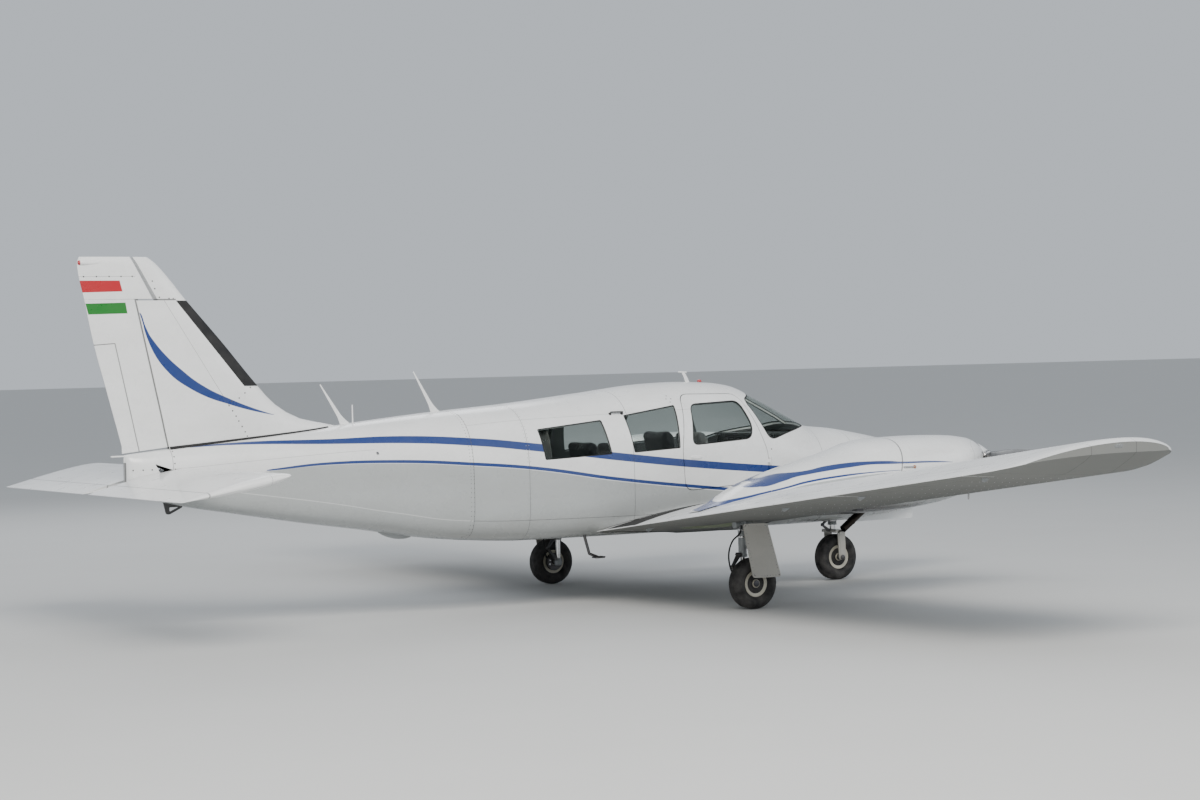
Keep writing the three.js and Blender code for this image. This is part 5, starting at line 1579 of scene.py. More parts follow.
def rudder_skin():
    """Makes the rudder."""
    rings = []
    for z in (1530, 1560, 1600, 1655, 1703, 1760, 1826, 1994, *range(2080, 2660, 90), 2698):
        flat = rudder_ring(z, rudder_axis(z)[0] - 8, 20)
        flat[[0, -1], 1] *= 1 - 5 / np.abs(flat[0, 1])
        rings.append(np.vstack([flat, round_end(z, False)]))
    bottom = level(rings[0], 1512 - 56 * np.clip((-3656 - rings[0][:, 0]) / 544, 0, 1))
    rudder = loft([bottom, *rings])
    rings, angle = [], half_turn(7)
    for z in (2700, 2760, 2830, 2900, 2960, 2990, 3010, 3026, 3037):
        front = -3762 + (z - 2700) * (-3948 + 3762) / (3060 - 2700)
        nose = columns(front + 10 * np.cos(angle), tail_half(front, z) * np.sin(angle), z)
        rings.append(np.vstack([rudder_ring(z, front, 22), nose]))
    angle = turns(20)
    fairing = [columns(x, r * np.cos(angle), 2990 + r * 0.9 * np.sin(angle)) for x, r in
               ((-3960, 2), (-4020, 12), (-4110, 20), (-4220, 24), (-4310, 24), (-4336, 20))]
    lamp = turned([(2, -18), (14, -16), (19, -8), (19, 2)], [-4338, 0, 2990], (1, 0, 0), 20, kind=1)
    rudder.merge(loft(rings), loft(fairing), lamp, tail_studs(RUDDER_STUDS, 2))
    build("rudder_skin", rudder, ["tail_paint", "red_lens", "rivet_paint"], node="rudder", body="rudder")


def stabilator_skin():
    """Makes the all-moving tailplane."""
    s = STABILATOR
    lead, trail = np.array(s["leading"], float), np.array(s["trailing"], float)
    chord = np.linalg.norm(lead - trail)
    ux, uz = (trail - lead) / chord
    shares = (1 - np.cos(np.linspace(0, math.pi, 36))) / 2

    def section(share, sign, first=0.0, last=1.0, thick=1.0):
        """x and z of the upper or lower surface at shares of the chord."""
        along = (first + share * (last - first)) * chord
        out = sign * np.maximum(s["thickness"] * half_thickness(share), 0.002) * thick * (share > 0) * chord
        return lead[0] + ux * along - uz * out, lead[1] + uz * along + ux * out

    def ring(y, *shape):
        rows = []
        for sign, order in ((1, shares[::-1]), (-1, shares[1:])):
            x, z = section(order, sign, *shape)
            root = np.maximum(between(FUSELAGE, np.maximum(x, -4020))[:, 0], 58) + s["clearance"]
            rows.append(columns(x, y or root, z))
        return np.vstack(rows)

    tip = s["half"]
    rings = [ring(y) for y in (0, *range(250, 1960, 190), tip - 60)]
    rings += [ring(tip - 40, 0.003, 0.998, 0.93), ring(tip - 22, 0.01, 0.994, 0.8),
              ring(tip - 8, 0.025, 0.985, 0.55), ring(tip, 0.05, 0.97, 0.2)]
    half = loft(rings)
    for y in (420, 900, 1400, 1900):
        for sign in (1, -1):
            x, z = section(np.linspace(0.06, 0.92, 18), sign)
            half.merge(studs(columns(x, y, z), [0, 0, sign], 3.2, 1.2))
    hx, hz = s["hinge"]
    whole = half.mirrored().merge(half, rod_across([hx, 0, hz], 240, s["tube"], 28, 1))
    build("stabilator_skin", whole, ["stabilator_paint", "steel"], node="stabilator", body="stabilator")


def tail_fittings():
    """Makes the tie-down loop."""
    outline = rounded([[-3710, 1100], [-3530, 1100], [-3540, 1022], [-3652, 968], [-3680, 972]], 14, 8)
    hole = rounded([[-3650, 992], [-3572, 1026], [-3652, 1026]], 8, 6)
    piece = build("tail_loop_plate", slab(outline, -6, 6), ["black_paint"], "engine_metal", "tail_loop")
    carve(piece, [slab(hole, -20, 20)])


# Gear
def open_turned(profile, centre, axis=(0, 1, 0), sides=64, kind=0):
    """A turned body whose profile is a closed line away from the axis."""
    return turned(profile, centre, axis, sides, closed=True, kind=kind)


def tyre_solid(centre, depth):
    """A tyre with a round crown, bulged walls and grooves round its tread."""
    side = [(RIM_RADIUS + 1, 0.60), (RIM_RADIUS + 8, 0.68), (RIM_RADIUS + 24, 0.88), (148, 0.98), (163, 1.0),
            (180, 0.95), (194, 0.84), (204, 0.70), (210, 0.58)]
    for place in (0.56, 0.42, 0.22):
        crown = AXLE_Z - 5.5 * place**2
        side += [(crown, place), (crown, place - 0.09), (crown - depth, place - 0.10), (crown - depth, place - 0.13),
                 (crown, place - 0.14)]
    side.append((AXLE_Z - 5.5 * 0.02**2, 0.02))
    half = TYRE_WIDTH / 2
    profile = [(r, -share * half) for r, share in side] + [(r, share * half) for r, share in side[::-1]]
    return turned(profile, centre, sides=96)


def rim_solid(centre):
    """A cast rim: flanges, a web near its outer side, a hub, bolts and caps."""
    edge, half = RIM_RADIUS, TYRE_WIDTH / 2 * 0.62
    side = [(edge + 4, -half), (edge + 4, -half - 4), (edge - 6, -half - 4), (edge - 26, 2 - half),
            (edge - 28, -30), (60, -26), (48, -28), (36, -42), (34, -56), (HUB_BORE, -56)]
    profile = [*side, *[(r, -place) for r, place in side[::-1]], (edge - 3, half - 6), (edge - 3, 6 - half)]
    web = [(37, 29), (edge - 29, 31), (edge - 29, 32.5), (37, 30.5)]
    cap = [(3, 52), (26, 52), (29, 57), (27, 63), (12, 66), (2, 66.5)]
    rim = open_turned(profile, centre)
    for sign in (-1, 1):
        rim.merge(open_turned(web, centre, (0, sign, 0), kind=2), turned(cap, centre, (0, sign, 0), 32, kind=2))
    for angle in turns(8):
        rim.merge(rod_across(centre + 60 * np.array([math.cos(angle), 0, math.sin(angle)]), 43, 5.5, 6, 1))
    return rim


def wheels():
    """Makes the tyres, rims and brakes."""
    depth = bpy.context.scene.aircraft_sizes.tread_depth / MM
    for kind, tail, centre, inward in (("main", "_left", (AXLE_X, WHEEL_Y, AXLE_Z), -1),
                                       ("main", "_right", (AXLE_X, -WHEEL_Y, AXLE_Z), 1),
                                       ("nose", "", (NOSE_WHEEL_X, 0, AXLE_Z), 0)):
        body = f"{kind}_wheel{tail}"
        build(f"{kind}_tyre_rubber{tail}", tyre_solid(centre, depth), ["tyre_rubber"], "tyre",
              f"{kind}_tyre{tail}", body)
        rim = rim_solid(centre)
        if inward:
            for disc in ([(40, 62), (84, 62), (84, 70), (40, 70)], [(34, 50), (44, 52), (44, 66), (34, 66)]):
                rim.merge(open_turned(disc, centre, (0, inward, 0), kind=2))
        build(f"{kind}_rim_cast{tail}", rim, ["rim_paint", "steel", "dark_metal"], "rim_paint",
              f"{kind}_rim{tail}", body, bevel=0.8)


def link_arm(root, tip, wide, narrow, depth_root, depth_tip, kind=0):
    """A tapered forging between two pins across the leg."""
    root, tip, across = np.array(root, float), np.array(tip, float), np.array([0, 1.0, 0])
    up = np.cross(unit(tip - root), across)
    ends = ((root, wide, depth_root), (tip, narrow, depth_tip))
    corners = ((-1, -0.6), (-0.8, -1), (0.8, -1), (1, -0.6), (1, 0.6), (0.8, 1), (-0.8, 1), (-1, 0.6))
    arm = loft([[place + a * half * across + b * deep * up for a, b in corners] for place, half, deep in ends],
               kind=kind)
    return arm.merge(*[rod_across(place, half + 6, deep + 3, kind=kind) for place, half, deep in ends])


def gear_cover(outline, outer, inner, line, radius, proud):
    """A plate between two y with a stiffener behind it and screws along a line."""
    screws = studs(columns(line[:, 0], outer[1], line[:, 1]), [0, 1, 0], radius, proud, 1)
    return slab(outline, *outer).merge(slab(grown(outline, -34), *inner), screws)


def main_gear():
    """Makes the main legs and their doors."""
    x, y = AXLE_X, LEG_Y
    leg = tube([[x, y, z] for z in (748, 640, 560, 470, 452, 450, 430, 428)], [38, 37, 36, 36, 36, 41, 41, 30], 32)
    leg.merge(rod([x, y, 440], [x, y, AXLE_Z + 28], 24, sides=28, kind=1),
              tube([[x, y, z] for z in (252, 244, 190, 182)], [28, 33, 33, 24], 28),
              rod([x - 79, y, 705], [x + 79, y, 705], 33, sides=28),
              rod([x, y - 34, AXLE_Z], [x, y + 60, AXLE_Z], 24, 19, 24),
              rod([x, y + 30, AXLE_Z], [x, WHEEL_Y + 62, AXLE_Z], 15.5, sides=24, kind=1),
              block((x + 5, x + 35), (y, 1790), (500, 524)))
    for z, knee in ((452, 352), (248, 348)):
        leg.merge(link_arm([x - 40, y, z], [x - 108, y, knee], 26, 13, 13, 9, 2),
                  block((x - 50, x - 15), (y - 20, y + 20), (z - 12, z + 12)))
    caliper = rounded([[x - 96, 180], [x - 52, 160], [x - 40, 250], [x - 92, 262]], 12, 10)
    leg.merge(slab(caliper, y + 30, y + 62, 2))
    leg.merge(*[rod_across([x - back, y + 43, z], 21, 11, kind=1) for back, z in ((76, 196), (70, 238))])
    hose = curve([[x - back, y + out, z] for back, out, z in (
        (30, 34, 700), (44, 36, 640), (118, 30, 575), (150, 18, 490), (148, 10, 400), (128, 22, 310), (96, 40, 256),
        (76, 44, 240))], 60)
    leg.merge(tube(hose, bpy.context.scene.aircraft_sizes.hose_radius / MM, 10, 3))
    leg.merge(*[open_turned([(37, -7), (40, -7), (40, 7), (37, 7)], [x, y, z], (0, 0, 1), 32, 1) for z in (660, 600)])
    cover = gear_cover(rounded(GEAR_PLATE, 28, 14), (1793, 1801), (1786, 1794),
                       grown(rounded(GEAR_PLATE, 28, 30), -16), 4.5, 1.8)
    build_pair("main_leg_strut", leg, ["leg_paint", "chrome", "dark_metal", "seal_rubber"], "grey_paint",
               "main_leg", bevel=1.2)
    build_pair("gear_plate", cover, ["plate_paint", "steel"], "grey_paint", "gear_door", bevel=1.0)


def nose_gear():
    """Makes the nose leg, its fork and the bay doors."""
    x = NOSE_LEG_X
    leg = open_turned([(30.5, 0), (44, 0), (44, 10), (42, 14), (42, 300), (46, 304), (46, 325), (30.5, 325)],
                      [x, 0, 520], (0, 0, 1), 32)
    leg.merge(rod_across([x, 0, 789], BAY[2] - 1, 23, 24), rod([x, 0, 700], [x + 330, 0, 838], 15, sides=18, kind=1),
              *[open_turned([(42, -6), (46, -6), (46, 6), (42, 6)], [x, 0, z], (0, 0, 1), 32, 1)
                for z in (560, 610, 700)],
              rod([x + 46, 40, 600], [x + 46, 40, 760], 14, sides=18, kind=1),
              block((x - 66, x - 34), (-18, 18), (566, 592)))
    build("nose_leg_strut", leg, ["leg_paint", "steel"], "grey_paint", "nose_leg", bevel=1.0)
    crown = [[x - 45, 448], [x + 30, 446], [x + 78, 452], [x + 72, 476], [x - 40, 478]]
    arm = rounded([[2958, 192], [3022, 192], [3030, 300], [3026, 474], [2942, 474], [2950, 300]], 26, 12)
    fork = rod([x, 0, 462], [x, 0, 592], 29, sides=32, kind=1).merge(slab(rounded(crown, 12, 10), -112, 112))
    for side in (-1, 1):
        fork.merge(slab(arm, side * 96, side * 112), slab(grown(arm, -16), side * 110, side * 115),
                   turned([(3, 0), (24, 0), (24, 8), (18, 12), (3, 13)], [NOSE_WHEEL_X, side * 112, AXLE_Z],
                          (0, side, 0), 24, kind=2))
    fork.merge(rod_across([NOSE_WHEEL_X, 0, AXLE_Z], 100, 15.5, 24, 1),
               link_arm([x - 38, 0, 468], [x - 112, 0, 520], 22, 12, 11, 8, 2))
    build("nose_fork_arms", fork, ["plate_paint", "chrome", "dark_metal"], "grey_paint", "nose_fork", "nose_fork",
          bevel=1.0)
    build("nose_link", link_arm([x - 50, 0, 579], [x - 112, 0, 530], 18, 10, 11, 8), ["dark_metal"],
          "engine_metal", bevel=0.8)
    xs = np.linspace(3815, 3060, 24)
    outline = np.vstack([columns(xs, skin_z(xs, 145, False) + 4),
                         [[3062, 560], [3074, 546], [3798, 546], [3813, 560]]])
    door = gear_cover(outline, (141.0, 147.0), (138.0, 142.0), grown(outline, -14)[::3], 3.6, 1.4)
    build_pair("nose_bay_door", door, ["white_paint", "steel"], node="nose_gear_door", bevel=0.8)


# Small fittings
def boarding_step():
    """Makes the step behind the wing."""
    step = tube(subdivided([[-60, -450, 660], [0, -450, 451], [90, -450, 415]], 20, closed=False), 13, 16)
    step.merge(plate(rounded(rectangle(42, 134, -503, -412), 12, 12), 409.0, 420.0))
    step.merge(*[block((x, x + 7), (-500, -415), (419, 423.5), 1) for x in range(52, 130, 11)])
    build("step_tube", step, ["dark_metal", "seal_rubber"], "grey_paint", "boarding_step", bevel=0.8)


def top_z(x):
    return float(between(FUSELAGE, x)[0, 2])


def blade(path, wide, thick):
    """A flat bar of oval section along a path in the plane y = 0."""
    angle = turns(16)[:, None]
    along = unit(np.gradient(path, axis=0))
    return loft([place + a * np.cos(angle) * way + b * np.sin(angle) * [0, 1, 0] for place, way, a, b in
                 zip(path, columns(along[:, 2], 0, -along[:, 0]), wide, thick)])


def antennas():
    """Makes the antennas, the beacon and small fittings."""
    whips = Solid()
    wide = np.interp(np.linspace(0, 1, 14), [0, 0.1, 0.25, 1], [46, 30, 18, 5])
    for x, z, tip_x, tip_z in ((-1230, 1715, -1430, 2068), (-2080, 1640, -2300, 1980)):
        path = np.linspace([x, 0, z - 12], [tip_x, 0, tip_z], 14)
        foot = rounded(rectangle(x - 45, x + 45, -16, 16), 16, 8)
        whips.merge(blade(path, wide, np.linspace(6, 2.5, 14)), plate(foot, top_z(x) - 8, top_z(x) + 5))
    whips.merge(rod([-2010, 0, 1640], [-2010, 0, 1804], 7, 5, 10))
    mast = curve([[1362, 0, top_z(1360) - 8], [1335, 0, 1965], [1312, 0, 2002]], 10)
    vane = curve([[1352, 0, 2001], [1305, 0, 2004], [1262, 0, 2006]], 10)
    whips.merge(blade(mast, np.linspace(22, 13, 10), np.linspace(6, 5, 10)), blade(vane, [6] * 10, [6] * 10))
    build("antennas", whips, ["white_paint", "black_paint"])
    place = [1490.0, 0, top_z(1490)]
    beacon = turned([(30, -8), (30, 4), (26, 6), (22, 6)], place, (0, 0, 1), 36, kind=1)
    beacon.merge(turned([(21, 5), (21, 16), (17, 24), (9, 28), (2, 29)], place, (0, 0, 1), 36))
    build("beacon", beacon, ["red_lens", "steel"])
    belly, angle = [], turns(24)
    for share in np.linspace(0, 1, 16):
        x = -1850 + 300 * share
        size = math.sin(math.pi * min(max(share, 0.02), 0.98)) ** 0.6
        z = between(FUSELAGE, x)[0, 1] + 30 - (30 + 38 * size) * np.abs(np.sin(angle)) + 22 * (np.sin(angle) > 0)
        belly.append(columns(x, -100 + 28 * size * np.cos(angle), z))
    build("belly_fairing", loft(belly), ["leg_paint"], "grey_paint")
    z = float(wing_z(1280.0, 4000.0, -1))
    mast = tube([[1280, -4000, z + 10], [1276, -4000, z - 34], [1276, -4000, z - 45]], [8, 7, 5], 12)
    build("pitot_mast", mast, ["steel"], "engine_metal")
    build("grab_handle", grab_handle((221, 1657), (337, 1657), RIGHT), ["black_paint"], "grey_paint")


# Cabin
def wall_pad(first, last, side):
    """A padded panel on the cabin wall, its edges drawn back."""
    xs = np.linspace(first, last, 12)
    y = side_y(xs, 1010.0, -60) * side
    return loft([np.vstack([columns(xs, y - side * out, z), columns(xs, y + side * 30, z)[::-1]])
                 for z, out in ((980.0, 0), (986.0, 18), (1034.0, 18), (1040.0, 0))])


def control_wheel(y):
    """A control wheel on its column."""
    wheel = tube(curve([[2030, y, 1215], [1960, y, 1215], [1905, y, 1215]], 8), 13, 14, 1)
    for turn in (-1, 1):
        grip = curve([[x, y + turn * out, z] for x, out, z in (
            (1900, 0, 1215), (1898, 70, 1208), (1896, 128, 1226), (1890, 146, 1275), (1884, 136, 1322))], 26)
        wheel.merge(tube(grip, np.linspace(15, 12, 26), 14, 1))
    return wheel.merge(slab(rounded(rectangle(1888, 1912, 1192, 1238), 8, 8), y - 34, y + 34, 1))


def interior():
    """Makes the floor, the trim and the controls."""
    floor = plan_plate(TAIL_SEAM + 20, NOSE_SEAM - 20, 48, FLOOR_Z - 4, -26, 18)
    build("cabin_floor", floor, ["carpet"], "cabin_trim")
    build("rear_bulkhead", bulkhead(TAIL_SEAM + 14, 10, -26, FLOOR_Z), ["trim_plastic"], "cabin_trim")
    # Its black is painted shade behind the instrument panel
    build("front_bulkhead", bulkhead(NOSE_SEAM - 24, 10, -26, FLOOR_Z, 1440), ["soot_black"], "cabin_trim")
    trims = wall_pad(300, 960, LEFT).merge(wall_pad(1000, 1800, LEFT), wall_pad(300, 860, RIGHT),
                                           control_wheel(-300), control_wheel(300))
    pedestal = [[1780, 694], [2050, 694], [2050, 1090], [1960, 1080], [1800, 930]]
    trims.merge(slab(rounded(pedestal, 24, 20), -95, 95))
    for y in (-60, -34, -12, 12, 34, 60):
        knob = [(2, -12), (10, -10), (12, 0), (10, 10), (2, 12)]
        trims.merge(rod([1900, y, 1010], [1880, y, 1110], 3, sides=8, kind=2),
                    turned(knob, [1878, y, 1118], (0, 1, 0), 16, kind=1))
    curtain = slab(rounded([[-560, 1280], [-404, 1292], [-410, 1650], [-560, 1650]], 10, 16), -6, 6, 1)
    for side in (LEFT, RIGHT):
        trims.merge(curtain.moved(lambda p: columns(
            p[:, 0], side * side_y(p[:, 0], p[:, 2], -40) + p[:, 1] + 5 * np.sin(p[:, 0] / 7), p[:, 2])))
    build("cabin_trim_parts", trims, ["trim_plastic", "black_paint", "steel"], "cabin_trim", bevel=1.5)


def dial(y, z, radius):
    """A round instrument: bezel, face, marks and a hand."""
    back = (-1, 0, 0)
    gauge = open_turned([(radius - 5, -1), (radius, -1), (radius, 6), (radius - 3, 8), (radius - 6, 5)],
                        [2040, y, z], back, 36)
    gauge.merge(turned([(1, 1.4), (radius - 5, 1.4), (radius - 5, 0), (1, 0)], [2040, y, z], back, 32, kind=1))
    for i, angle in enumerate(turns(12)):
        way = np.array([0, math.cos(angle), math.sin(angle)])
        inner, centre = radius - (11 if i % 3 else 14), np.array([2038.2, y, z])
        gauge.merge(rod(centre + way * inner, centre + way * (radius - 7), 0.9, sides=6, kind=2))
    angle = 0.7 + 1.9 * ((y * 7 + z * 3) % 11) / 11
    way, centre = np.array([0, math.cos(angle), math.sin(angle)]), np.array([2037.4, y, z])
    return gauge.merge(rod(centre - way * 7, centre + way * (radius - 12), 1.3, 0.5, 6, 2),
                       rod(centre - [1.5, 0, 0], centre + [1.5, 0, 0], 3, sides=12))


def instrument_panel():
    """Makes the panel and its dials."""
    zs, xs = np.linspace(1040, 1408, 10), np.linspace(2000, 2420, 16)
    outline = both_sides(zs, side_y(np.full(10, 2060.0), zs, -34))
    panel = loft([columns(x, outline[:, 1], outline[:, 0]) for x in (2040.0, 2075.0)])
    panel.merge(plate(both_sides(xs, side_y(xs, 1405.0, -30)), 1404.0, 1424.0))
    build("panel_board", panel, ["panel_paint"], "cabin_trim", "instrument_panel", bevel=2)
    places = [(y, z, 42) for z in (1335, 1235) for y in (-395, -300, -205, 205, 300, 395)]
    places += [(y, z, 27) for z in (1355, 1290, 1225) for y in (115, -115)]
    places += [(y, 1130, 30) for y in (-420, -190, 190, 420)]
    dials = Solid().merge(*[dial(*place) for place in places])
    for z in range(1395, 1162, -58):
        dials.merge(block((2026, 2042), (-78, 78), (z - 46, z)),
                    block((2024.5, 2027), (-44, 44), (z - 32, z - 12), 3),
                    *[turned([(2, 14), (9, 13), (11, 0)], [2026, y, z - 23], (-1, 0, 0), 20, kind=1)
                      for y in (-62, 62)])
    build("panel_dials", dials, ["dark_metal", "black_paint", "white_paint", "glass"], "cabin_trim")


def cushion_shape(outline, y, half):
    """A closed form: an outline in x and z drawn in towards its two ends."""
    middle = outline.mean(0)
    rings = []
    for t in np.linspace(-1, 1, 21):
        edge = max(0.0, abs(t) - 0.78) / 0.22
        x, z = (middle + (outline - middle) * (1 - 0.15 * edge**2.2)).T
        rings.append(columns(x, y + t * half, z))
    return loft(rings)


def places_of(mesh):
    """The points of a mesh, in metres."""
    found = np.empty(len(mesh.vertices) * 3)
    mesh.vertices.foreach_get("co", found)
    return found.reshape(-1, 3)


def apply_modifiers(piece):
    old, piece.data = piece.data, evaluated(piece)
    piece.modifiers.clear()
    if not piece.data.materials:
        for material in old.materials:
            piece.data.materials.append(material)
    bpy.data.meshes.remove(old)


def padded_piece(name, solid):
    """A stuffed piece: remeshed, blown up a little by a cloth simulation, then smoothed."""
    scene, swell = bpy.context.scene, bpy.context.scene.aircraft_sizes.cushion_swell
    piece = build(name, solid, ["seat_cloth"], "seat_cover", sharp=180)
    bpy.context.view_layer.objects.active = piece
    remesh = piece.modifiers.new("Remesh", "REMESH")
    remesh.mode, remesh.voxel_size = "VOXEL", 0.0075
    apply_modifiers(piece)
    rest = places_of(piece.data)
    settings = piece.modifiers.new("Cloth", "CLOTH").settings
    settings.use_pressure, settings.uniform_pressure_force = True, 4
    settings.effector_weights.gravity, settings.quality = 0, 4
    for step in range(1, 15):
        scene.frame_set(step)
    change = places_of(piece.evaluated_get(bpy.context.evaluated_depsgraph_get()).data) - rest
    length = np.linalg.norm(change, axis=1)
    change *= (np.minimum(length, swell) / np.maximum(length, 1e-9))[:, None]
    piece.modifiers.clear()
    scene.frame_set(1)
    piece.data.vertices.foreach_set("co", (rest + change).ravel())
    smooth = piece.modifiers.new("Smooth", "SMOOTH")
    smooth.iterations, smooth.factor = 4, 0.5
    apply_modifiers(piece)
    piece.data.shade_smooth()
    return piece


SEAT_ROWS = (
    # name, x and y, width, height of the back
    ("pilot_seat", 1260, 275, 440, 920), ("copilot_seat", 1260, -275, 440, 920),
    ("middle_seat_left", 420, 255, 420, 850), ("middle_seat_right", 420, -255, 420, 850),
    ("rear_bench", -520, 0, 850, 780),
)


def back_outline(back_height):
    """The back cushion's outline, leaning back from the seat's own corner."""
    top = back_height - 150.0
    return rounded([[64 - (z - 402) * 0.23 - depth, z] for z, depth in (
        (396, 0), (520, -14), (680, -4), (top, 4), (top + 14, 50), (top - 4, 92), (560, 96), (402, 96))], 40, 16)


def seats():
    """Makes the padded seats."""
    made = {}
    base = rounded([[24, 268], [452, 282], [462, 384], [430, 404], [70, 388], [30, 380]], 34, 16)
    pan = rounded([[10, 225], [448, 240], [456, 278], [14, 270]], 12, 30)
    for name, x, y, width, back_height in SEAT_ROWS:
        half = width / 2 - 8
        offset = Vector((x, y, FLOOR_Z)) * MM
        for part, outline, reach in (("base", base, half), ("back", back_outline(back_height), half - 6)):
            key = part, width, back_height
            if key in made:
                origin, mesh = made[key]
                piece = linked(f"{name}_{part}_cushion", mesh.copy())
                piece.data.transform(Matrix.Translation(offset - origin))
                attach(piece, "airframe")
            else:
                piece = padded_piece(f"{name}_{part}_cushion", cushion_shape(outline + [x, FLOOR_Z], y, reach))
                made[key] = offset, piece.data
            if part == "back":
                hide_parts(name)
        frame_part = slab(pan + [x, FLOOR_Z], y - half + 4, y + half - 4)
        for leg_y in (y - half + 40, y + half - 40):
            for low, high in (((40, 24), (60, 230)), ((420, 24), (400, 235)), ((400, 220), (60, 60))):
                frame_part.merge(rod([x + high[0], leg_y, FLOOR_Z + high[1]], [x + low[0], leg_y, FLOOR_Z + low[1]],
                                     11, sides=12, kind=1))
            frame_part.merge(block((x + 20, x + 440), (leg_y - 14, leg_y + 14), (FLOOR_Z + 2, FLOOR_Z + 24), 1))
        build(f"{name}_frame", frame_part, ["trim_plastic", "steel"], "cabin_trim", bevel=1)


def engines():
    """Finishes the engine blocks of the frame."""
    for name in ("engine_left", "engine_right"):
        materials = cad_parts[name].data.materials
        materials.clear()
        materials.append(FINISHES["engine_metal"])


# Stage
def look_camera():
    """The camera of the photographed view."""
    yaw, pitch, roll = 0.546, -0.012, -0.026
    ahead = Vector((math.sin(yaw) * math.cos(pitch), math.cos(yaw) * math.cos(pitch), math.sin(pitch)))
    right = ahead.cross(Vector((0, 0, 1))).normalized()
    up = right.cross(ahead)
    right, up = right * math.cos(roll) + up * math.sin(roll), up * math.cos(roll) - right * math.sin(roll)
    data = bpy.data.cameras.new("camera")
    data.sensor_width, data.lens, data.clip_end = 36, 2377.148 / 1200 * 36, 4000
    camera = linked("camera", data)
    turn = Matrix((right, up, -ahead)).transposed()
    camera.matrix_world = Matrix.Translation((-10.585, -18.116, 2.028)) @ turn.to_4x4()
    bpy.context.scene.camera = camera


def soft_light(name, place, target, size, power, colour):
    data = bpy.data.lights.new(name, "AREA")
    data.shape, data.size, data.size_y, data.energy, data.color = "RECTANGLE", *size, power, colour
    light = linked(name, data)
    light.location = place
    light.rotation_euler = (Vector(target) - Vector(place)).to_track_quat("-Z", "Y").to_euler()


def stage():
    """Makes the camera, the floor and the lights."""
    look_camera()
    finish = Finish("stage_floor")
    spots = finish.spread(finish.noise(0.8, 4.0), 0.0, 0.12)
    finish.set(Base_Color=finish.mix(spots, (0.56, 0.56, 0.55), (0.46, 0.46, 0.45)), Roughness=0.85)
    mesh = bpy.data.meshes.new("floor")
    mesh.from_pydata([(x * 1500, y * 1500, -0.001) for x, y in ((-1, -1), (1, -1), (1, 1), (-1, 1))], [],
                     [(0, 1, 2, 3)])
    mesh.materials.append(finish.material)
    linked("floor", mesh)
    world = bpy.data.worlds.new("sky")
    world.use_nodes = True
    sky = world.node_tree.nodes["Background"].inputs
    sky["Color"].default_value, sky["Strength"].default_value = (0.80, 0.86, 0.93, 1), 0.72
    bpy.context.scene.world = world
    soft_light("key", (-8, -16, 14), (0, 0, 1), (12, 8), 4600, (1.0, 0.97, 0.92))
    soft_light("fill", (12, -14, 8), (1, 0, 1), (10, 8), 500, (0.92, 0.96, 1.0))
    soft_light("back", (2, 16, 12), (0, 0, 1), (14, 8), 1000, (0.95, 0.97, 1.0))


# Add-on
def colour_property(name, label):
    return bpy.props.FloatVectorProperty(name=label, description=f"Colour of the {label.lower()}", size=3,
                                         default=COLOURS[name], min=0.0, max=1.0, subtype="COLOR")


class AircraftColours(bpy.types.PropertyGroup):
    """Colours of the paint schemes and trim."""

    white: colour_property("white", "Upper Paint")
    silver: colour_property("silver", "Lower Paint")
    blue: colour_property("blue", "Stripes")
    black: colour_property("black", "Walkway")
    cream: colour_property("cream", "Wheel Rims")
    blade: colour_property("blade", "Propeller Blades")
    charcoal: colour_property("charcoal", "Seat Cloth")
    trim: colour_property("trim", "Cabin Trim")


class AircraftSizes(bpy.types.PropertyGroup):
    """Sizes of small features."""

    cushion_swell: bpy.props.FloatProperty(
        name="Cushion Swell", description="How far a cushion's cover may move as it fills",
        default=0.018, min=0.0, max=0.03, unit="LENGTH")
    tread_depth: bpy.props.FloatProperty(
        name="Tread Depth", description="Depth of the grooves round the tyres",
        default=0.005, min=0.001, max=0.01, unit="LENGTH")
    hose_radius: bpy.props.FloatProperty(
        name="Hose Radius", description="Radius of the brake hoses", default=0.007, min=0.002, max=0.01,
        unit="LENGTH")


def operator(label, work):
    """An operator class that makes one piece or one group of like pieces."""
    def execute(self, context):
        work()
        return {"FINISHED"}

    name = label.lower().replace(" ", "_")
    return type(f"AIRCRAFT_OT_{name}", (bpy.types.Operator,), {
        "bl_idname": f"aircraft.{name}", "bl_label": label, "__doc__": work.__doc__, "execute": execute,
        "bl_options": {"REGISTER", "UNDO"}})


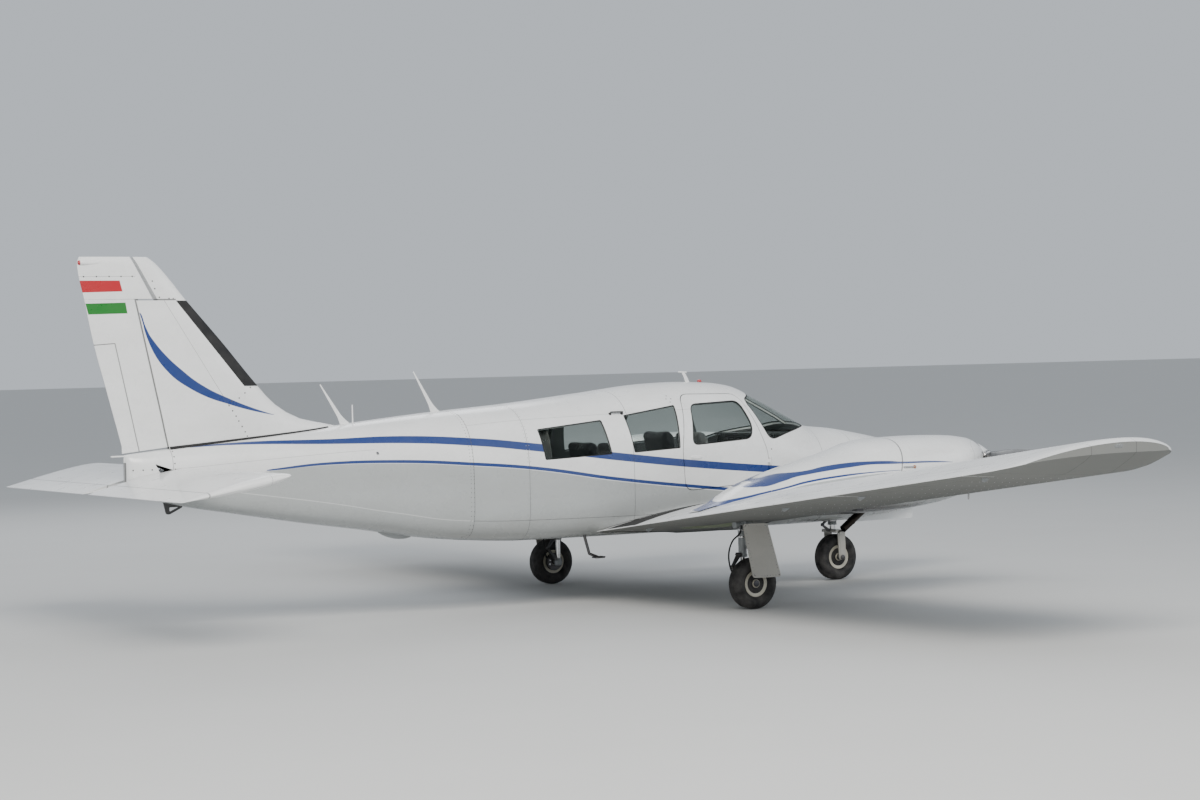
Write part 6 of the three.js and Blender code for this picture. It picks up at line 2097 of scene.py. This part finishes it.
OPERATORS = [operator(label, work) for label, work in (
    ("Stage", stage), ("Finishes", prepare_finishes), ("Cabin Skin", cabin_skin), ("Windows", window_panes),
    ("Doors", doors), ("Nose Skin", nose_skin), ("Tailcone Skin", tail_skin), ("Wings", wings),
    ("Flaps and Ailerons", control_surfaces), ("Tip Lights", tip_lights), ("Nacelles", nacelles),
    ("Cowlings", cowlings), ("Exhausts", exhausts), ("Propellers", propellers), ("Fin", fin_skin),
    ("Fin Boot", fin_boot), ("Rudder", rudder_skin), ("Stabilator", stabilator_skin),
    ("Tail Fittings", tail_fittings), ("Wheels", wheels), ("Main Gear", main_gear), ("Nose Gear", nose_gear),
    ("Boarding Step", boarding_step), ("Antennas", antennas), ("Cabin Fittings", interior),
    ("Instrument Panel", instrument_panel), ("Seats", seats), ("Engines", engines),
)]


class AIRCRAFT_PT_panel(bpy.types.Panel):
    """Lists the steps that build the aircraft"""

    bl_label = "Light Aircraft"
    bl_idname = "AIRCRAFT_PT_panel"
    bl_space_type = "VIEW_3D"
    bl_region_type = "UI"
    bl_category = "Aircraft"

    def draw(self, context):
        for group in (context.scene.aircraft_colours, context.scene.aircraft_sizes):
            for name in group.__annotations__:
                self.layout.prop(group, name)
        for step in OPERATORS:
            self.layout.operator(step.bl_idname)


CLASSES = [AircraftColours, AircraftSizes, *OPERATORS, AIRCRAFT_PT_panel]


def register():
    for item in CLASSES:
        bpy.utils.register_class(item)
    bpy.types.Scene.aircraft_colours = bpy.props.PointerProperty(type=AircraftColours)
    bpy.types.Scene.aircraft_sizes = bpy.props.PointerProperty(type=AircraftSizes)


def unregister():
    del bpy.types.Scene.aircraft_sizes
    del bpy.types.Scene.aircraft_colours
    for item in reversed(CLASSES):
        bpy.utils.unregister_class(item)


def main():
    register()
    for name in AircraftColours.__annotations__:
        COLOURS[name] = tuple(getattr(bpy.context.scene.aircraft_colours, name))
    for step in OPERATORS:
        getattr(bpy.ops.aircraft, step.bl_idname.split(".")[1])()


if __name__ == "__main__":
    main()
